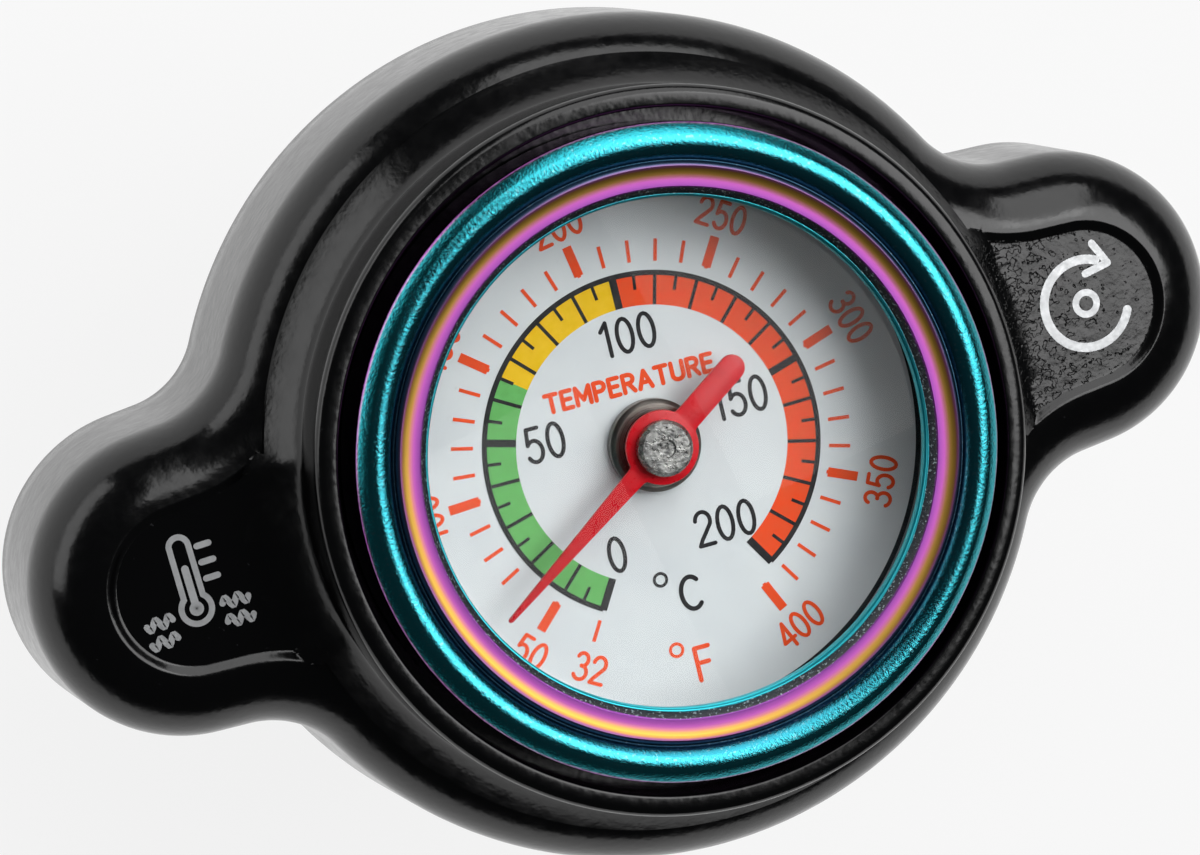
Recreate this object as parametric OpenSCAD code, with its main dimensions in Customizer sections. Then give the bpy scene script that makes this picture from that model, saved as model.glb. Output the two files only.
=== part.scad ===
// Radiator cap with a built-in dial thermometer.
// Millimetres. +Z runs along the cap axis towards the dial, +X along the wings.
// The origin is the centre of the plane where the cap gasket meets the filler neck's rim.

/* [Casting] */
// Overall span from wing tip to wing tip
wing_span = 85; // [78:0.5:92]
// Diameter of the round body at its lower edge
body_dia = 58.2; // [57:0.2:60]
// Radius of a wing tip in plan, at the lower edge
wing_tip_r = 10.8; // [9.5:0.1:12]
// Angle of each wing side to the wing's centre line
wing_taper = 4; // [1:0.5:6]
// Concave radius in plan where a wing meets the round body
wing_blend_r = 6; // [4:0.5:8]
// Draft angle of the outer wall
draft = 2.5; // [1:0.5:4]
// Depth of the outer wall below the neck rim
skirt_drop = 4.8; // [4:0.1:5.2]
// Height of the top deck above the neck rim
deck_z = 11.5; // [11:0.1:12]
// Rounding between the outer wall and the deck
shoulder_r = 5.5; // [4.5:0.1:5.8]
// Wall of the gauge housing outside the bezel's groove
housing_wall = 1.2; // [1:0.05:1.6]
// Height of the housing's rim above the neck rim
housing_rim_z = 18.8; // [18:0.1:19.2]
// Rounding on the outer edge of the housing's rim
rim_round = 0.8; // [0.4:0.1:1]
// Concave radius between the housing wall and the deck
housing_fillet_r = 3; // [2:0.1:3.4]
// Depth of the flat pad sunk into each wing
pad_depth = 0.4; // [0.2:0.05:0.8]
// Distance from a wing's lower edge in to its pad
pad_margin = 5.3; // [4.8:0.1:6]
// Thickness of the casting's floor under the gauge
floor_t = 2.8; // [2.6:0.1:3.2]
// Wall left outside the cored groove and the wing cores
core_wall = 2.8; // [2.4:0.1:3.2]
// Roof left above the cored hollows
core_roof = 4; // [3.6:0.1:5]

/* [Bayonet] */
// Outside diameter of the filler neck's flange
neck_flange_dia = 42; // [41:0.2:43]
// Radial room between the flange and the skirt
flange_room = 0.7; // [0.5:0.1:1]
// Wall of the inner skirt
skirt_wall = 2; // [1.6:0.1:2.4]
// Height of the neck cam: from the rim down to the hooks
cam_drop = 5.8; // [5.6:0.1:6.4]
// Thickness of a hook
hook_t = 2.5; // [2:0.1:3]
// How far a hook reaches in from the skirt
hook_reach = 4.5; // [3.5:0.1:5]
// Width of a bayonet tab, as an angle
tab_angle = 35; // [28:1:42]
// How far a tab's outside stands in from the body's edge
tab_inset = 0.7; // [0.4:0.1:1.2]
// Concave radius where a tab leaves the body
tab_fillet_r = 0.9; // [0.5:0.1:1]

/* [Gauge] */
// Outside diameter of the bezel ring
bezel_dia = 42.8; // [42.6:0.1:43.4]
// Width of the bezel's face, from its outside in to the glass
bezel_face_w = 4.8; // [4.4:0.1:5.2]
// Height of the bezel's top above the neck rim
bezel_top_z = 20.5; // [20.2:0.1:21]
// Height of the bezel's outer bead over the lens
bezel_rise = 2.1; // [1.8:0.1:2.4]
// Wall of the bezel ring
bezel_wall = 0.75; // [0.6:0.05:0.9]
// Width of the groove between the bezel and the housing
bezel_groove = 0.9; // [0.7:0.05:1]
// Thickness of the lens
lens_t = 2; // [1.6:0.1:2.2]
// Thickness of the lens gasket
lens_gasket_t = 0.8; // [0.6:0.1:1]
// Sheet thickness of the gauge can
can_t = 0.6; // [0.5:0.05:0.7]
// Distance from the bezel's outside in to the dial plate's edge
dial_inset = 3; // [2.9:0.05:3.4]
// Thickness of the dial plate
dial_t = 0.5; // [0.4:0.05:0.6]
// Height of the dial's face above the neck rim
dial_z = 11.85; // [11.6:0.05:12.1]

/* [Pointer] */
// Angle of the pointer from +X
pointer_angle = 211.4; // [209:0.2:214]
// Length from the axis to the needle's tip
needle_len = 15.1; // [14:0.1:15.6]
// Width of the needle at the hub
needle_w = 1; // [0.8:0.1:1.4]
// Width of the needle at its tip
needle_tip_w = 0.35; // [0.25:0.05:0.5]
// Length from the axis to the end of the tail
tail_len = 7; // [6:0.1:8]
// Width of the tail
tail_w = 1.6; // [1.2:0.1:2]
// Diameter of the pointer's hub
hub_dia = 4.9; // [4.4:0.1:5.4]
// Thickness of the pointer
pointer_t = 0.4; // [0.3:0.05:0.5]
// Height of the pointer's underside over the dial
pointer_lift = 2.2; // [2:0.1:2.4]
// Diameter of the pin's head
pin_head_dia = 3.7; // [3.2:0.1:4]
// Height of the pin's head
pin_head_h = 1; // [0.8:0.1:1.2]
// Diameter of the spindle
spindle_dia = 1.6; // [1.4:0.1:1.8]
// Diameter of the bush's flange on the dial
bush_dia = 6.1; // [5.6:0.1:6.6]
// Height of the bush's flange over the dial
bush_h = 1.1; // [0.8:0.1:1.4]

/* [Stem] */
// Outside diameter of the probe tube
probe_dia = 6; // [5.6:0.1:6.4]
// Wall of the probe tube
probe_wall = 0.5; // [0.4:0.05:0.6]
// Depth of the probe's tip below the neck rim
probe_depth = 36; // [34:0.5:40]
// Diameter of the threaded stem
stem_dia = 10; // [9.6:0.1:10.4]
// Size of the stem nut across its flats
nut_af = 17; // [16.4:0.2:18]
// Height of the nut's hexagon
nut_h = 2; // [1.6:0.1:2.2]
// Wall of the nut's spigot round the stem
spigot_wall = 1.3; // [1.2:0.1:1.6]
// Section diameter of the stem's O-ring
oring_dia = 1.5; // [1.3:0.1:1.7]
// Number of turns of the bimetal coil
coil_turns = 12; // [8:1:14]
// Radius of the bimetal coil at the middle of its strip
coil_r = 1.75; // [1.7:0.05:1.8]

/* [Valve] */
// Thickness of the neck gasket
gasket_t = 1.5; // [1.2:0.1:1.8]
// Radial room between the spring holder and the neck gasket
gasket_room = 1.6; // [1.2:0.1:2.4]
// Thickness of the spring disc
disc_t = 0.4; // [0.3:0.05:0.5]
// Outside diameter of the spring holder
holder_dia = 28; // [27.4:0.2:28.6]
// Sheet thickness of the spring holder and the valve pressings
sheet_t = 0.6; // [0.5:0.05:0.7]
// Depth of the spring holder below the neck rim
holder_depth = 12.8; // [12.4:0.1:13.6]
// Diameter of the holes in the spring holder's wall
holder_hole_dia = 5; // [4:0.2:5.4]
// Wire diameter of the pressure spring
spring_wire = 1.6; // [1.4:0.05:1.7]
// Turns of the pressure spring
spring_turns = 4; // [3:1:4]
// Lift of the pressure valve
valve_lift = 3.2; // [2.6:0.1:3.4]
// Thickness of the valve's rubber seal
seal_t = 1.8; // [1.6:0.1:2.2]
// Height of the seal's sealing ring over its inner face
seal_step = 0.4; // [0.3:0.05:0.6]
// Width of the seal's sealing ring
seal_ring_w = 2.8; // [2.4:0.1:3]
// Wall of the valve's sleeve round the probe
sleeve_wall = 1.35; // [1.2:0.05:1.5]
// Diameter of the vacuum valve's disc
vacuum_dia = 19; // [18:0.2:19.4]
// Thickness of the vacuum valve's disc
vacuum_t = 0.8; // [0.6:0.1:1]
// Height of the vacuum valve's hub
vacuum_hub_h = 1.2; // [1:0.1:1.4]
// Travel of the vacuum valve
vacuum_drop = 1.5; // [1.2:0.1:1.6]
// Wire diameter of the vacuum spring
vacuum_wire = 0.6; // [0.5:0.05:0.6]
// Turns of the vacuum spring
vacuum_turns = 3; // [2:1:3]

/* [Fits] */
// Radial clearance where a piece turns or slides on another
run_gap = 0.05; // [0.03:0.01:0.08]
// Clearance between pieces that pass each other
pass_gap = 0.3; // [0.25:0.05:0.4]
// Clearance between fixed pieces
seat_gap = 0.05; // [0.03:0.01:0.08]

/* [Hidden] */
$fn = 96;
// Points on each turn of a coil
COIL_STEPS = 8;
// Overshoot of a cut past the face that it leaves
cut = 1;
// How far a blend reaches into its neighbours, so that the surfaces cross cleanly
bite = 0.03;

// Casting: levels and radii
base_z = -skirt_drop;
body_r = body_dia / 2;
tip_x = wing_span / 2 - wing_tip_r;
wing_run = tip_x - body_r / 2;
bezel_r = bezel_dia / 2;
groove_r = bezel_r + bezel_groove;
housing_r = groove_r + housing_wall;
skirt_r = neck_flange_dia / 2 + flange_room;
hook_r = skirt_r - hook_reach;
hook_top_z = -cam_drop;
hook_base_z = hook_top_z - hook_t;
tab_r = body_r - tab_inset;
core_in_r = skirt_r + skirt_wall;
core_out_r = body_r - core_wall;
core_top_z = deck_z - shoulder_r - core_roof / 2;
core_land = 20;
wing_core_top_z = deck_z - core_roof;

// Rounded edge of the casting: inset of the arc's centre and of its lower end
edge_cz = deck_z - shoulder_r;
edge_c = (edge_cz - base_z) * tan(draft) + shoulder_r / cos(draft);
edge_t = edge_c - shoulder_r * cos(draft);
edge_tz = edge_cz + shoulder_r * sin(draft);

// Fillet between the shoulder and the housing wall
shoulder_x = body_r - edge_c;
fillet_x = housing_r + housing_fillet_r;
fillet_reach = shoulder_r + housing_fillet_r;
fillet_z = edge_cz + sqrt(pow(fillet_reach, 2) - pow(fillet_x - shoulder_x, 2));
fillet_touch = [
    shoulder_x + (fillet_x - shoulder_x) * shoulder_r / fillet_reach,
    edge_cz + (fillet_z - edge_cz) * shoulder_r / fillet_reach
];

// Centre of the plan blend beside a wing: one radius from the wing's side and from the body
side_offset = (wing_tip_r + wing_blend_r) / cos(wing_taper) + tip_x * tan(wing_taper);
blend_reach = body_r + wing_blend_r;
slope = tan(wing_taper);
blend_x = (side_offset * slope
    + sqrt(pow(blend_reach, 2) * (1 + slope * slope) - pow(side_offset, 2))) / (1 + slope * slope);
blend_y = side_offset - slope * blend_x;
blend_deep = wing_blend_r + edge_c + cut;
corner_deep = blend_deep - 2 * cut;

// Gauge stack, from the bezel down
lens_top_z = bezel_top_z - bezel_rise;
lens_z = lens_top_z - lens_t;
lens_gasket_z = lens_z - lens_gasket_t;
can_flange_z = lens_gasket_z - can_t;
bezel_in_r = bezel_r - bezel_wall;
lens_r = bezel_in_r - pass_gap;
window_r = bezel_r - bezel_face_w;
dial_r = bezel_r - dial_inset;
can_r = dial_r + pass_gap;
can_out_r = can_r + can_t;
crimp_z = can_flange_z - seat_gap - bezel_wall;
ledge_z = crimp_z - pass_gap;
dial_base_z = dial_z - dial_t;
can_ledge_w = 2.4;
can_cup_h = 4.15;
can_low_r = can_r - can_ledge_w;
pocket_z = dial_base_z - can_cup_h;
pocket_r = can_out_r + pass_gap;
ceiling_z = pocket_z - floor_t;
crimp_r = can_out_r + 2 * seat_gap;

// Stem and spindle
stem_r = stem_dia / 2;
probe_r = probe_dia / 2;
probe_in_r = probe_r - probe_wall;
spindle_r = spindle_dia / 2;
boss_flange_w = 3;
boss_flange_r = stem_r + boss_flange_w;
boss_flange_t = 1.2;
boss_post_r = 4;
bush_shank_r = 1.8;
bush_shank_h = 2;
pointer_z = dial_z + pointer_lift;
spindle_hole_r = spindle_r + run_gap;
probe_drop = 1.6;
probe_top_z = pocket_z - probe_drop;
oring_r = stem_r + pass_gap + oring_dia / 2;
oring_seat_r = oring_r + oring_dia / 2 + seat_gap;
oring_seat_h = oring_dia + 2 * seat_gap;
anchor_z = -probe_depth + probe_r;
anchor_h = 2.4;
collar_h = 1.2;
coil_strip_h = 0.5;
coil_strip_t = 0.3;
coil_room = 0.9;
coil_pitch = coil_strip_h + coil_room;
coil_z = anchor_z + anchor_h + coil_strip_h;
collar_z = coil_z + coil_turns * coil_pitch + coil_strip_h;

// Neck seal, spring holder and pressure valve
gasket_inset = 0.4;
gasket_out_r = neck_flange_dia / 2 - gasket_inset;
disc_r = gasket_out_r;
disc_z = gasket_t;
holder_r = holder_dia / 2;
gasket_in_r = holder_r + gasket_room;
holder_in_r = holder_r - sheet_t;
holder_top_z = disc_z;
holder_roof_z = holder_top_z - sheet_t;
stem_tail = 1.1;
stem_end_z = holder_roof_z - stem_tail;
holder_base_z = -holder_depth;
lip_z = holder_base_z + sheet_t;
spigot_r = stem_r + spigot_wall;
spigot_hole_r = spigot_r + run_gap;
nut_base_z = ceiling_z - nut_h;
clip_t = 0.5;
clip_w = 2.6;
clip_groove = 0.5;
clip_mouth = 3;
clip_play = 0.15;
clip_top_z = holder_roof_z - clip_play;
spigot_tail = 0.6;
spigot_end_z = clip_top_z - clip_t - spigot_tail;
cup_r = holder_in_r - pass_gap;
cup_base_z = lip_z + seat_gap;
cup_floor_t = 0.9;
cup_top_z = cup_base_z + cup_floor_t;
lip_hold = 0.7;
lip_r = cup_r - lip_hold;
cup_wall_r = lip_r - pass_gap;
pan_top_z = holder_base_z - valve_lift - pass_gap;
pan_z = pan_top_z - sheet_t;
pan_inset = 0.2;
pan_r = holder_r - pan_inset;
pan_rim_h = 1;
seal_r = pan_r - sheet_t;
seal_z = pan_z - seal_t;
seal_face_z = seal_z + seal_step;
sleeve_in_r = probe_r + run_gap;
sleeve_r = sleeve_in_r + sleeve_wall;
sleeve_head_w = 1.6;
sleeve_head_r = sleeve_r + sleeve_head_w;
sleeve_head_h = 1;
vent_room = 2.2;
seal_in_r = sleeve_r + vent_room;
vent_r = 0.8;
vent_ring_r = (sleeve_r + seal_in_r) / 2;
cup_vent_r = 1.3;
cup_vent_room = 2;
cup_vent_ring_r = sleeve_head_r + cup_vent_room;
vent_count = 6;
spring_room = 1.7;
spring_r = cup_r - spring_room - spring_wire / 2;

// Vacuum valve below the pressure valve
vacuum_top_z = seal_face_z - seat_gap;
vacuum_z = vacuum_top_z - vacuum_t;
vacuum_hole_r = sleeve_r + run_gap;
vacuum_hub_wall = 1.1;
vacuum_hub_r = vacuum_hole_r + vacuum_hub_wall;
vacuum_spare = 1.1;
vacuum_clip_z = vacuum_z - vacuum_hub_h - vacuum_drop - vacuum_spare;
vacuum_clip_mouth = 2;
vacuum_clip_t = 0.5;
vacuum_clip_groove = 0.4;
vacuum_spring_r = (vacuum_hub_r + pass_gap + vacuum_wire / 2) / cos(180 / COIL_STEPS);
vacuum_clip_r = vacuum_spring_r + vacuum_wire;
sleeve_tail = 0.8;
sleeve_end_z = vacuum_clip_z - vacuum_clip_t - sleeve_tail;

// Finish colours
BLACK = [0.05, 0.05, 0.055];
RAINBOW = [0.2, 0.62, 0.7];
STEEL = [0.66, 0.66, 0.68];
BRASS = [0.78, 0.62, 0.3];
RUBBER = [0.09, 0.09, 0.09];
DIAL = [0.86, 0.88, 0.88];
RED = [0.78, 0.03, 0.06];
GLASS = [0.85, 0.92, 0.95, 0.3];

// Ring of rectangular section between two radii and two levels
module ring(r_in, r_out, z_low, z_high) {
    rotate_extrude()
        translate([r_in, z_low])
            square([r_out - r_in, z_high - z_low]);
}

// Ring-shaped sector centred on an angle
module sector(r_in, r_out, z_low, z_high, middle, span) {
    rotate([0, 0, middle - span / 2])
        rotate_extrude(angle = span)
            translate([r_in, z_low])
                square([r_out - r_in, z_high - z_low]);
}

// Centre line of a coil, with the same number of points on every turn
function coil_path(r, turns, z_low, z_high) = [
    for (i = [0:turns * COIL_STEPS])
        let (a = 360 * i / COIL_STEPS, t = i / (turns * COIL_STEPS))
            [r * cos(a), r * sin(a), z_low + (z_high - z_low) * t]
];

// Least room between points of a coil that lie most of a turn apart
COIL_SKIP = 6;
function coil_gap(path, thick) = min([
    for (i = [0:len(path) - COIL_SKIP - 1])
        for (j = [i + COIL_SKIP:len(path) - 1])
            norm(path[i] - path[j])
]) - thick;

// Tube along a coil: six-sided rings, half as wide and half as high as given
module coil_tube(path, half_w, half_h) {
    sides = 6;
    turn = 360 / sides;
    last = len(path) - 1;
    points = [
        for (p = path)
            let (out = [p[0], p[1], 0] / norm([p[0], p[1]]))
                for (k = [0:sides - 1])
                    p + half_w * cos(turn * k) * out + [0, 0, half_h * sin(turn * k)]
    ];
    side_faces = [
        for (i = [0:last - 1])
            for (k = [0:sides - 1])
                let (a = i * sides + k, b = i * sides + (k + 1) % sides)
                    each [[a, b, b + sides], [a, b + sides, a + sides]]
    ];
    start_faces = [for (k = [1:sides - 2]) [0, k + 1, k]];
    end_base = last * sides;
    end_faces = [for (k = [1:sides - 2]) [end_base, end_base + k, end_base + k + 1]];
    polyhedron(points, concat(side_faces, start_faces, end_faces));
}

// Half section of the casting's edge: drafted wall, rounded shoulder, flat deck
module edge_section(w, over = 0) {
    intersection() {
        union() {
            polygon([
                [-over, base_z], [w, base_z], [w - edge_t, edge_tz], [w - edge_c, edge_cz],
                [w - edge_c, deck_z], [-over, deck_z]
            ]);
            translate([w - edge_c, edge_cz])
                circle(shoulder_r);
        }
        translate([-over, base_z])
            square([w + over, deck_z - base_z]);
    }
}

// Half section of the room outside a concave blend of the same edge, with half the draft
module blend_section(r) {
    arc_x = r + edge_c;
    touch = [arc_x - shoulder_r * cos(draft / 2), edge_cz + shoulder_r * sin(draft / 2)];
    low_z = base_z - cut;
    difference() {
        polygon([
            [0, low_z], [touch[0] - (touch[1] - low_z) * tan(draft / 2), low_z], touch,
            [arc_x, touch[1]], [arc_x, deck_z + cut], [0, deck_z + cut]
        ]);
        translate([arc_x, edge_cz])
            circle(shoulder_r);
    }
}

// Section of the housing wall with its rounded rim and the fillet at its foot
module housing_section() {
    difference() {
        polygon([
            [0, edge_cz], [shoulder_x, edge_cz], fillet_touch, [fillet_x, fillet_z],
            [housing_r, fillet_z], [housing_r, housing_rim_z - rim_round],
            [housing_r - rim_round, housing_rim_z - rim_round],
            [housing_r - rim_round, housing_rim_z], [0, housing_rim_z]
        ]);
        translate([fillet_x, fillet_z])
            circle(housing_fillet_r);
    }
    translate([housing_r - rim_round, housing_rim_z - rim_round])
        circle(rim_round);
}

// Side of a wing, from its tip into the body, reaching past the wing's middle
module wing_side(side) {
    translate([tip_x, 0, 0])
        rotate([0, 0, -side * wing_taper])
            rotate([90, 0, -90])
                linear_extrude(wing_run)
                    scale([-side, 1])
                        edge_section(wing_tip_r, wing_tip_r / 2);
}

// Round end of a wing, between the ends of its two sides
module wing_end() {
    translate([tip_x, 0, 0])
        rotate([0, 0, wing_taper - 90])
            rotate_extrude(angle = 180 - 2 * wing_taper)
                edge_section(wing_tip_r);
}

// Filler between the body and a wing's side, hollowed to the plan blend
module wing_corner(side) {
    to_body = [-blend_x, -side * blend_y] / blend_reach;
    to_wing = -side * [side * sin(wing_taper), cos(wing_taper)];
    centre = [blend_x, side * blend_y];
    difference() {
        translate([0, 0, base_z])
            linear_extrude(deck_z - base_z)
                polygon([
                    centre, centre + blend_deep * to_body,
                    centre + corner_deep * (to_body + to_wing),
                    centre + blend_deep * to_wing
                ]);
        translate(centre)
            rotate_extrude()
                blend_section(wing_blend_r + bite);
    }
}

// One wing along +X
module wing() {
    wing_end();
    for (side = [-1, 1]) {
        wing_side(side);
        wing_corner(side);
    }
}

// Plan of a shape inside a wing, a margin in from its lower edge
module wing_inset(margin, inner_x) {
    r = wing_tip_r - margin;
    side_r = r - bite;
    inner_w = side_r / cos(wing_taper) + (tip_x - inner_x) * slope;
    tip_end = [tip_x + side_r * sin(wing_taper), side_r * cos(wing_taper)];
    translate([tip_x, 0])
        circle(r);
    polygon([
        tip_end, [inner_x, inner_w], [inner_x, -inner_w], [tip_end[0], -tip_end[1]]
    ]);
}

// Flat pad sunk into a wing's deck, as far as the housing's fillet
module pad_cut() {
    difference() {
        translate([0, 0, deck_z - pad_depth])
            linear_extrude(pad_depth + cut)
                wing_inset(pad_margin, housing_r);
        cylinder(h = housing_rim_z, r = fillet_x - housing_fillet_r / 4);
    }
}

// Hollow cored into the underside of a wing
module wing_core() {
    difference() {
        translate([0, 0, base_z - cut])
            linear_extrude(wing_core_top_z - base_z + cut)
                wing_inset(core_wall, body_r - core_wall);
        translate([0, 0, base_z - 2 * cut])
            cylinder(h = deck_z - base_z, r = core_out_r + skirt_wall);
    }
}

// Concave fillet beside a tab, along the tab's side
module tab_fillet(side) {
    low_z = base_z - tab_fillet_r;
    block = tab_fillet_r + cut;
    intersection() {
        rotate([90, 0, 90])
            linear_extrude(body_r)
                scale([side, 1])
                    difference() {
                        translate([-cut, low_z])
                            square([block, block]);
                        translate([tab_fillet_r, low_z])
                            circle(tab_fillet_r + bite);
                    }
        ring(hook_r, tab_r, hook_base_z, deck_z);
    }
}

// Bayonet tab centred on an angle, with its fillets; the skirt's bore leaves its hook
module tab(middle) {
    sector(hook_r, tab_r, hook_base_z, base_z + cut, middle, tab_angle);
    for (side = [-1, 1])
        rotate([0, 0, middle + side * tab_angle / 2])
            tab_fillet(side);
}

module cap_body() {
    core_span = 180 - tab_angle - core_land;
    color(BLACK)
        difference() {
            union() {
                rotate_extrude() {
                    edge_section(body_r);
                    housing_section();
                }
                for (turn = [0, 180])
                    rotate([0, 0, turn])
                        wing();
                tab(90);
                tab(270);
            }
            for (turn = [0, 180])
                rotate([0, 0, turn]) {
                    pad_cut();
                    wing_core();
                    sector(core_in_r, core_out_r, base_z - cut, core_top_z, 0, core_span);
                }
            translate([0, 0, hook_top_z])
                cylinder(h = ceiling_z - hook_top_z, r = skirt_r);
            translate([0, 0, pocket_z])
                cylinder(h = housing_rim_z, r = pocket_r);
            translate([0, 0, ledge_z])
                cylinder(h = housing_rim_z, r = groove_r);
            cylinder(h = housing_rim_z, r = stem_r + pass_gap);
            translate([0, 0, pocket_z - oring_seat_h])
                cylinder(h = oring_seat_h + cut, r = oring_seat_r);
        }
}

module bezel_ring() {
    outer_bead_r = 1.2;
    inner_bead_r = 0.95;
    edge_w = 0.4;
    edge_h = 0.3;
    lip_w = 0.2;
    lip_h = 0.3;
    bead_rise = 0.55;
    outer_bead_x = bezel_r - edge_w - outer_bead_r;
    inner_bead_x = window_r + lip_w + inner_bead_r;
    lip_top_z = lens_top_z + lip_h;
    inner_bead_z = lip_top_z + bead_rise;
    bead_foot_z = bezel_top_z - outer_bead_r;
    edge_top_z = bead_foot_z + edge_h;
    color(RAINBOW)
        rotate_extrude() {
            polygon([
                [crimp_r, crimp_z], [bezel_r, crimp_z],
                [bezel_r, edge_top_z], [outer_bead_x, edge_top_z],
                [inner_bead_x, inner_bead_z], [window_r + lip_w, lip_top_z],
                [window_r, lip_top_z], [window_r, lens_top_z], [bezel_in_r, lens_top_z],
                [bezel_in_r, crimp_z + bezel_wall], [crimp_r, crimp_z + bezel_wall]
            ]);
            intersection() {
                union() {
                    translate([outer_bead_x, bead_foot_z])
                        circle(outer_bead_r);
                    translate([inner_bead_x, inner_bead_z])
                        circle(inner_bead_r);
                }
                translate([window_r, lens_top_z])
                    square([bezel_r - window_r, bezel_rise]);
            }
        }
}

module lens() {
    edge = 0.3;
    color(GLASS)
        rotate_extrude()
            polygon([
                [0, lens_z], [lens_r - edge, lens_z], [lens_r, lens_z + edge],
                [lens_r, lens_top_z - edge], [lens_r - edge, lens_top_z], [0, lens_top_z]
            ]);
}

module lens_gasket() {
    color(RUBBER)
        ring(can_out_r - can_t, lens_r, lens_gasket_z, lens_z);
}

module gauge_can() {
    ledge_under = dial_base_z - can_t;
    color(STEEL)
        rotate_extrude()
            polygon([
                [stem_r + seat_gap, pocket_z], [can_low_r, pocket_z], [can_low_r, ledge_under],
                [can_out_r, ledge_under], [can_out_r, can_flange_z], [lens_r, can_flange_z],
                [lens_r, lens_gasket_z], [can_r, lens_gasket_z], [can_r, dial_base_z],
                [can_low_r - can_t, dial_base_z], [can_low_r - can_t, pocket_z + can_t],
                [stem_r + seat_gap, pocket_z + can_t]
            ]);
}

module dial_plate() {
    color(DIAL)
        ring(bush_shank_r + seat_gap, dial_r, dial_base_z, dial_z);
}

module stem_boss() {
    flange_z = pocket_z + can_t;
    bush_hole_z = dial_z - bush_shank_h - seat_gap;
    color(BRASS)
        rotate_extrude()
            polygon([
                [spindle_hole_r + pass_gap, bush_hole_z], [bush_shank_r + seat_gap, bush_hole_z],
                [bush_shank_r + seat_gap, dial_base_z], [boss_post_r, dial_base_z],
                [boss_post_r, flange_z + boss_flange_t], [boss_flange_r, flange_z + boss_flange_t],
                [boss_flange_r, flange_z], [stem_r, flange_z], [stem_r, stem_end_z],
                [probe_r + seat_gap, stem_end_z], [probe_r + seat_gap, probe_top_z],
                [spindle_hole_r + pass_gap, probe_top_z]
            ]);
}

module spindle_bush() {
    edge = 0.25;
    color(STEEL)
        rotate_extrude()
            polygon([
                [spindle_hole_r, dial_z - bush_shank_h], [bush_shank_r, dial_z - bush_shank_h],
                [bush_shank_r, dial_z], [bush_dia / 2, dial_z], [bush_dia / 2, dial_z + bush_h - edge],
                [bush_dia / 2 - edge, dial_z + bush_h], [spindle_hole_r, dial_z + bush_h]
            ]);
}

module pointer() {
    color(RED)
        translate([0, 0, pointer_z])
            rotate([0, 0, pointer_angle])
                linear_extrude(pointer_t)
                    difference() {
                        union() {
                            circle(hub_dia / 2);
                            polygon([
                                [0, -needle_w / 2], [needle_len, -needle_tip_w / 2],
                                [needle_len, needle_tip_w / 2], [0, needle_w / 2]
                            ]);
                            translate([tail_w / 2 - tail_len, -tail_w / 2])
                                square([tail_len - tail_w / 2, tail_w]);
                            translate([tail_w / 2 - tail_len, 0])
                                circle(tail_w / 2);
                        }
                        circle(spindle_r + seat_gap);
                    }
}

module pointer_pin() {
    head_z = pointer_z + pointer_t;
    edge = 0.2;
    head_r = pin_head_dia / 2;
    color(STEEL)
        rotate_extrude()
            polygon([
                [spindle_r + seat_gap, head_z], [head_r, head_z], [head_r, head_z + pin_head_h - edge],
                [head_r - edge, head_z + pin_head_h], [0, head_z + pin_head_h],
                [0, head_z + pin_head_h / 2], [spindle_r + seat_gap, head_z + pin_head_h / 2]
            ]);
}

module spindle() {
    top_z = pointer_z + pointer_t + pin_head_h / 2 - seat_gap;
    foot_z = anchor_z + anchor_h / 3;
    color(STEEL) {
        translate([0, 0, foot_z])
            cylinder(h = top_z - foot_z, r = spindle_r);
        translate([0, 0, collar_z])
            cylinder(h = collar_h, r = probe_in_r - pass_gap);
    }
}

module probe_tube() {
    color(STEEL)
        rotate_extrude()
            difference() {
                union() {
                    translate([0, anchor_z])
                        square([probe_r, probe_top_z - anchor_z]);
                    intersection() {
                        translate([0, anchor_z])
                            circle(probe_r);
                        translate([0, anchor_z - probe_r])
                            square([probe_r, probe_r]);
                    }
                }
                translate([0, anchor_z])
                    square([probe_in_r, probe_top_z - anchor_z + cut]);
            }
}

module coil_anchor() {
    blind_z = anchor_z + anchor_h / 3 - seat_gap;
    color(BRASS)
        rotate_extrude()
            polygon([
                [0, anchor_z], [probe_in_r - seat_gap, anchor_z],
                [probe_in_r - seat_gap, anchor_z + anchor_h],
                [spindle_hole_r, anchor_z + anchor_h], [spindle_hole_r, blind_z], [0, blind_z]
            ]);
}

module bimetal_coil() {
    path = coil_path(coil_r, coil_turns, coil_z, collar_z - coil_strip_h);
    echo(str("bimetal_coil least gap ", coil_gap(path, coil_strip_h)));
    color(STEEL)
        coil_tube(path, coil_strip_t / 2, coil_strip_h / 2);
}

module stem_oring() {
    color(RUBBER)
        translate([0, 0, pocket_z - oring_seat_h / 2])
            rotate_extrude()
                translate([oring_r, 0])
                    circle(oring_dia / 2);
}

module stem_nut() {
    color(BRASS)
        difference() {
            union() {
                translate([0, 0, nut_base_z])
                    cylinder(h = nut_h, r = nut_af / 2 / cos(30), $fn = 6);
                translate([0, 0, spigot_end_z])
                    cylinder(h = nut_base_z - spigot_end_z + nut_h / 2, r = spigot_r);
            }
            translate([0, 0, spigot_end_z - cut])
                cylinder(h = ceiling_z - spigot_end_z + 2 * cut, r = stem_r + seat_gap);
            ring(spigot_r - clip_groove, spigot_r + cut,
                clip_top_z - clip_t - seat_gap, clip_top_z + seat_gap);
        }
}

// Open snap ring between two radii
module snap_ring(r_in, r_out, z_low, z_high, mouth) {
    difference() {
        ring(r_in, r_out, z_low, z_high);
        translate([0, -mouth / 2, z_low - cut])
            cube([r_out + cut, mouth, z_high - z_low + 2 * cut]);
    }
}

module retaining_clip() {
    color(STEEL)
        snap_ring(spigot_r - clip_groove + seat_gap, spigot_r + clip_w - clip_groove,
            clip_top_z - clip_t, clip_top_z, clip_mouth);
}

module spring_disc() {
    color(STEEL)
        ring(spigot_hole_r, disc_r, disc_z, disc_z + disc_t);
}

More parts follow.
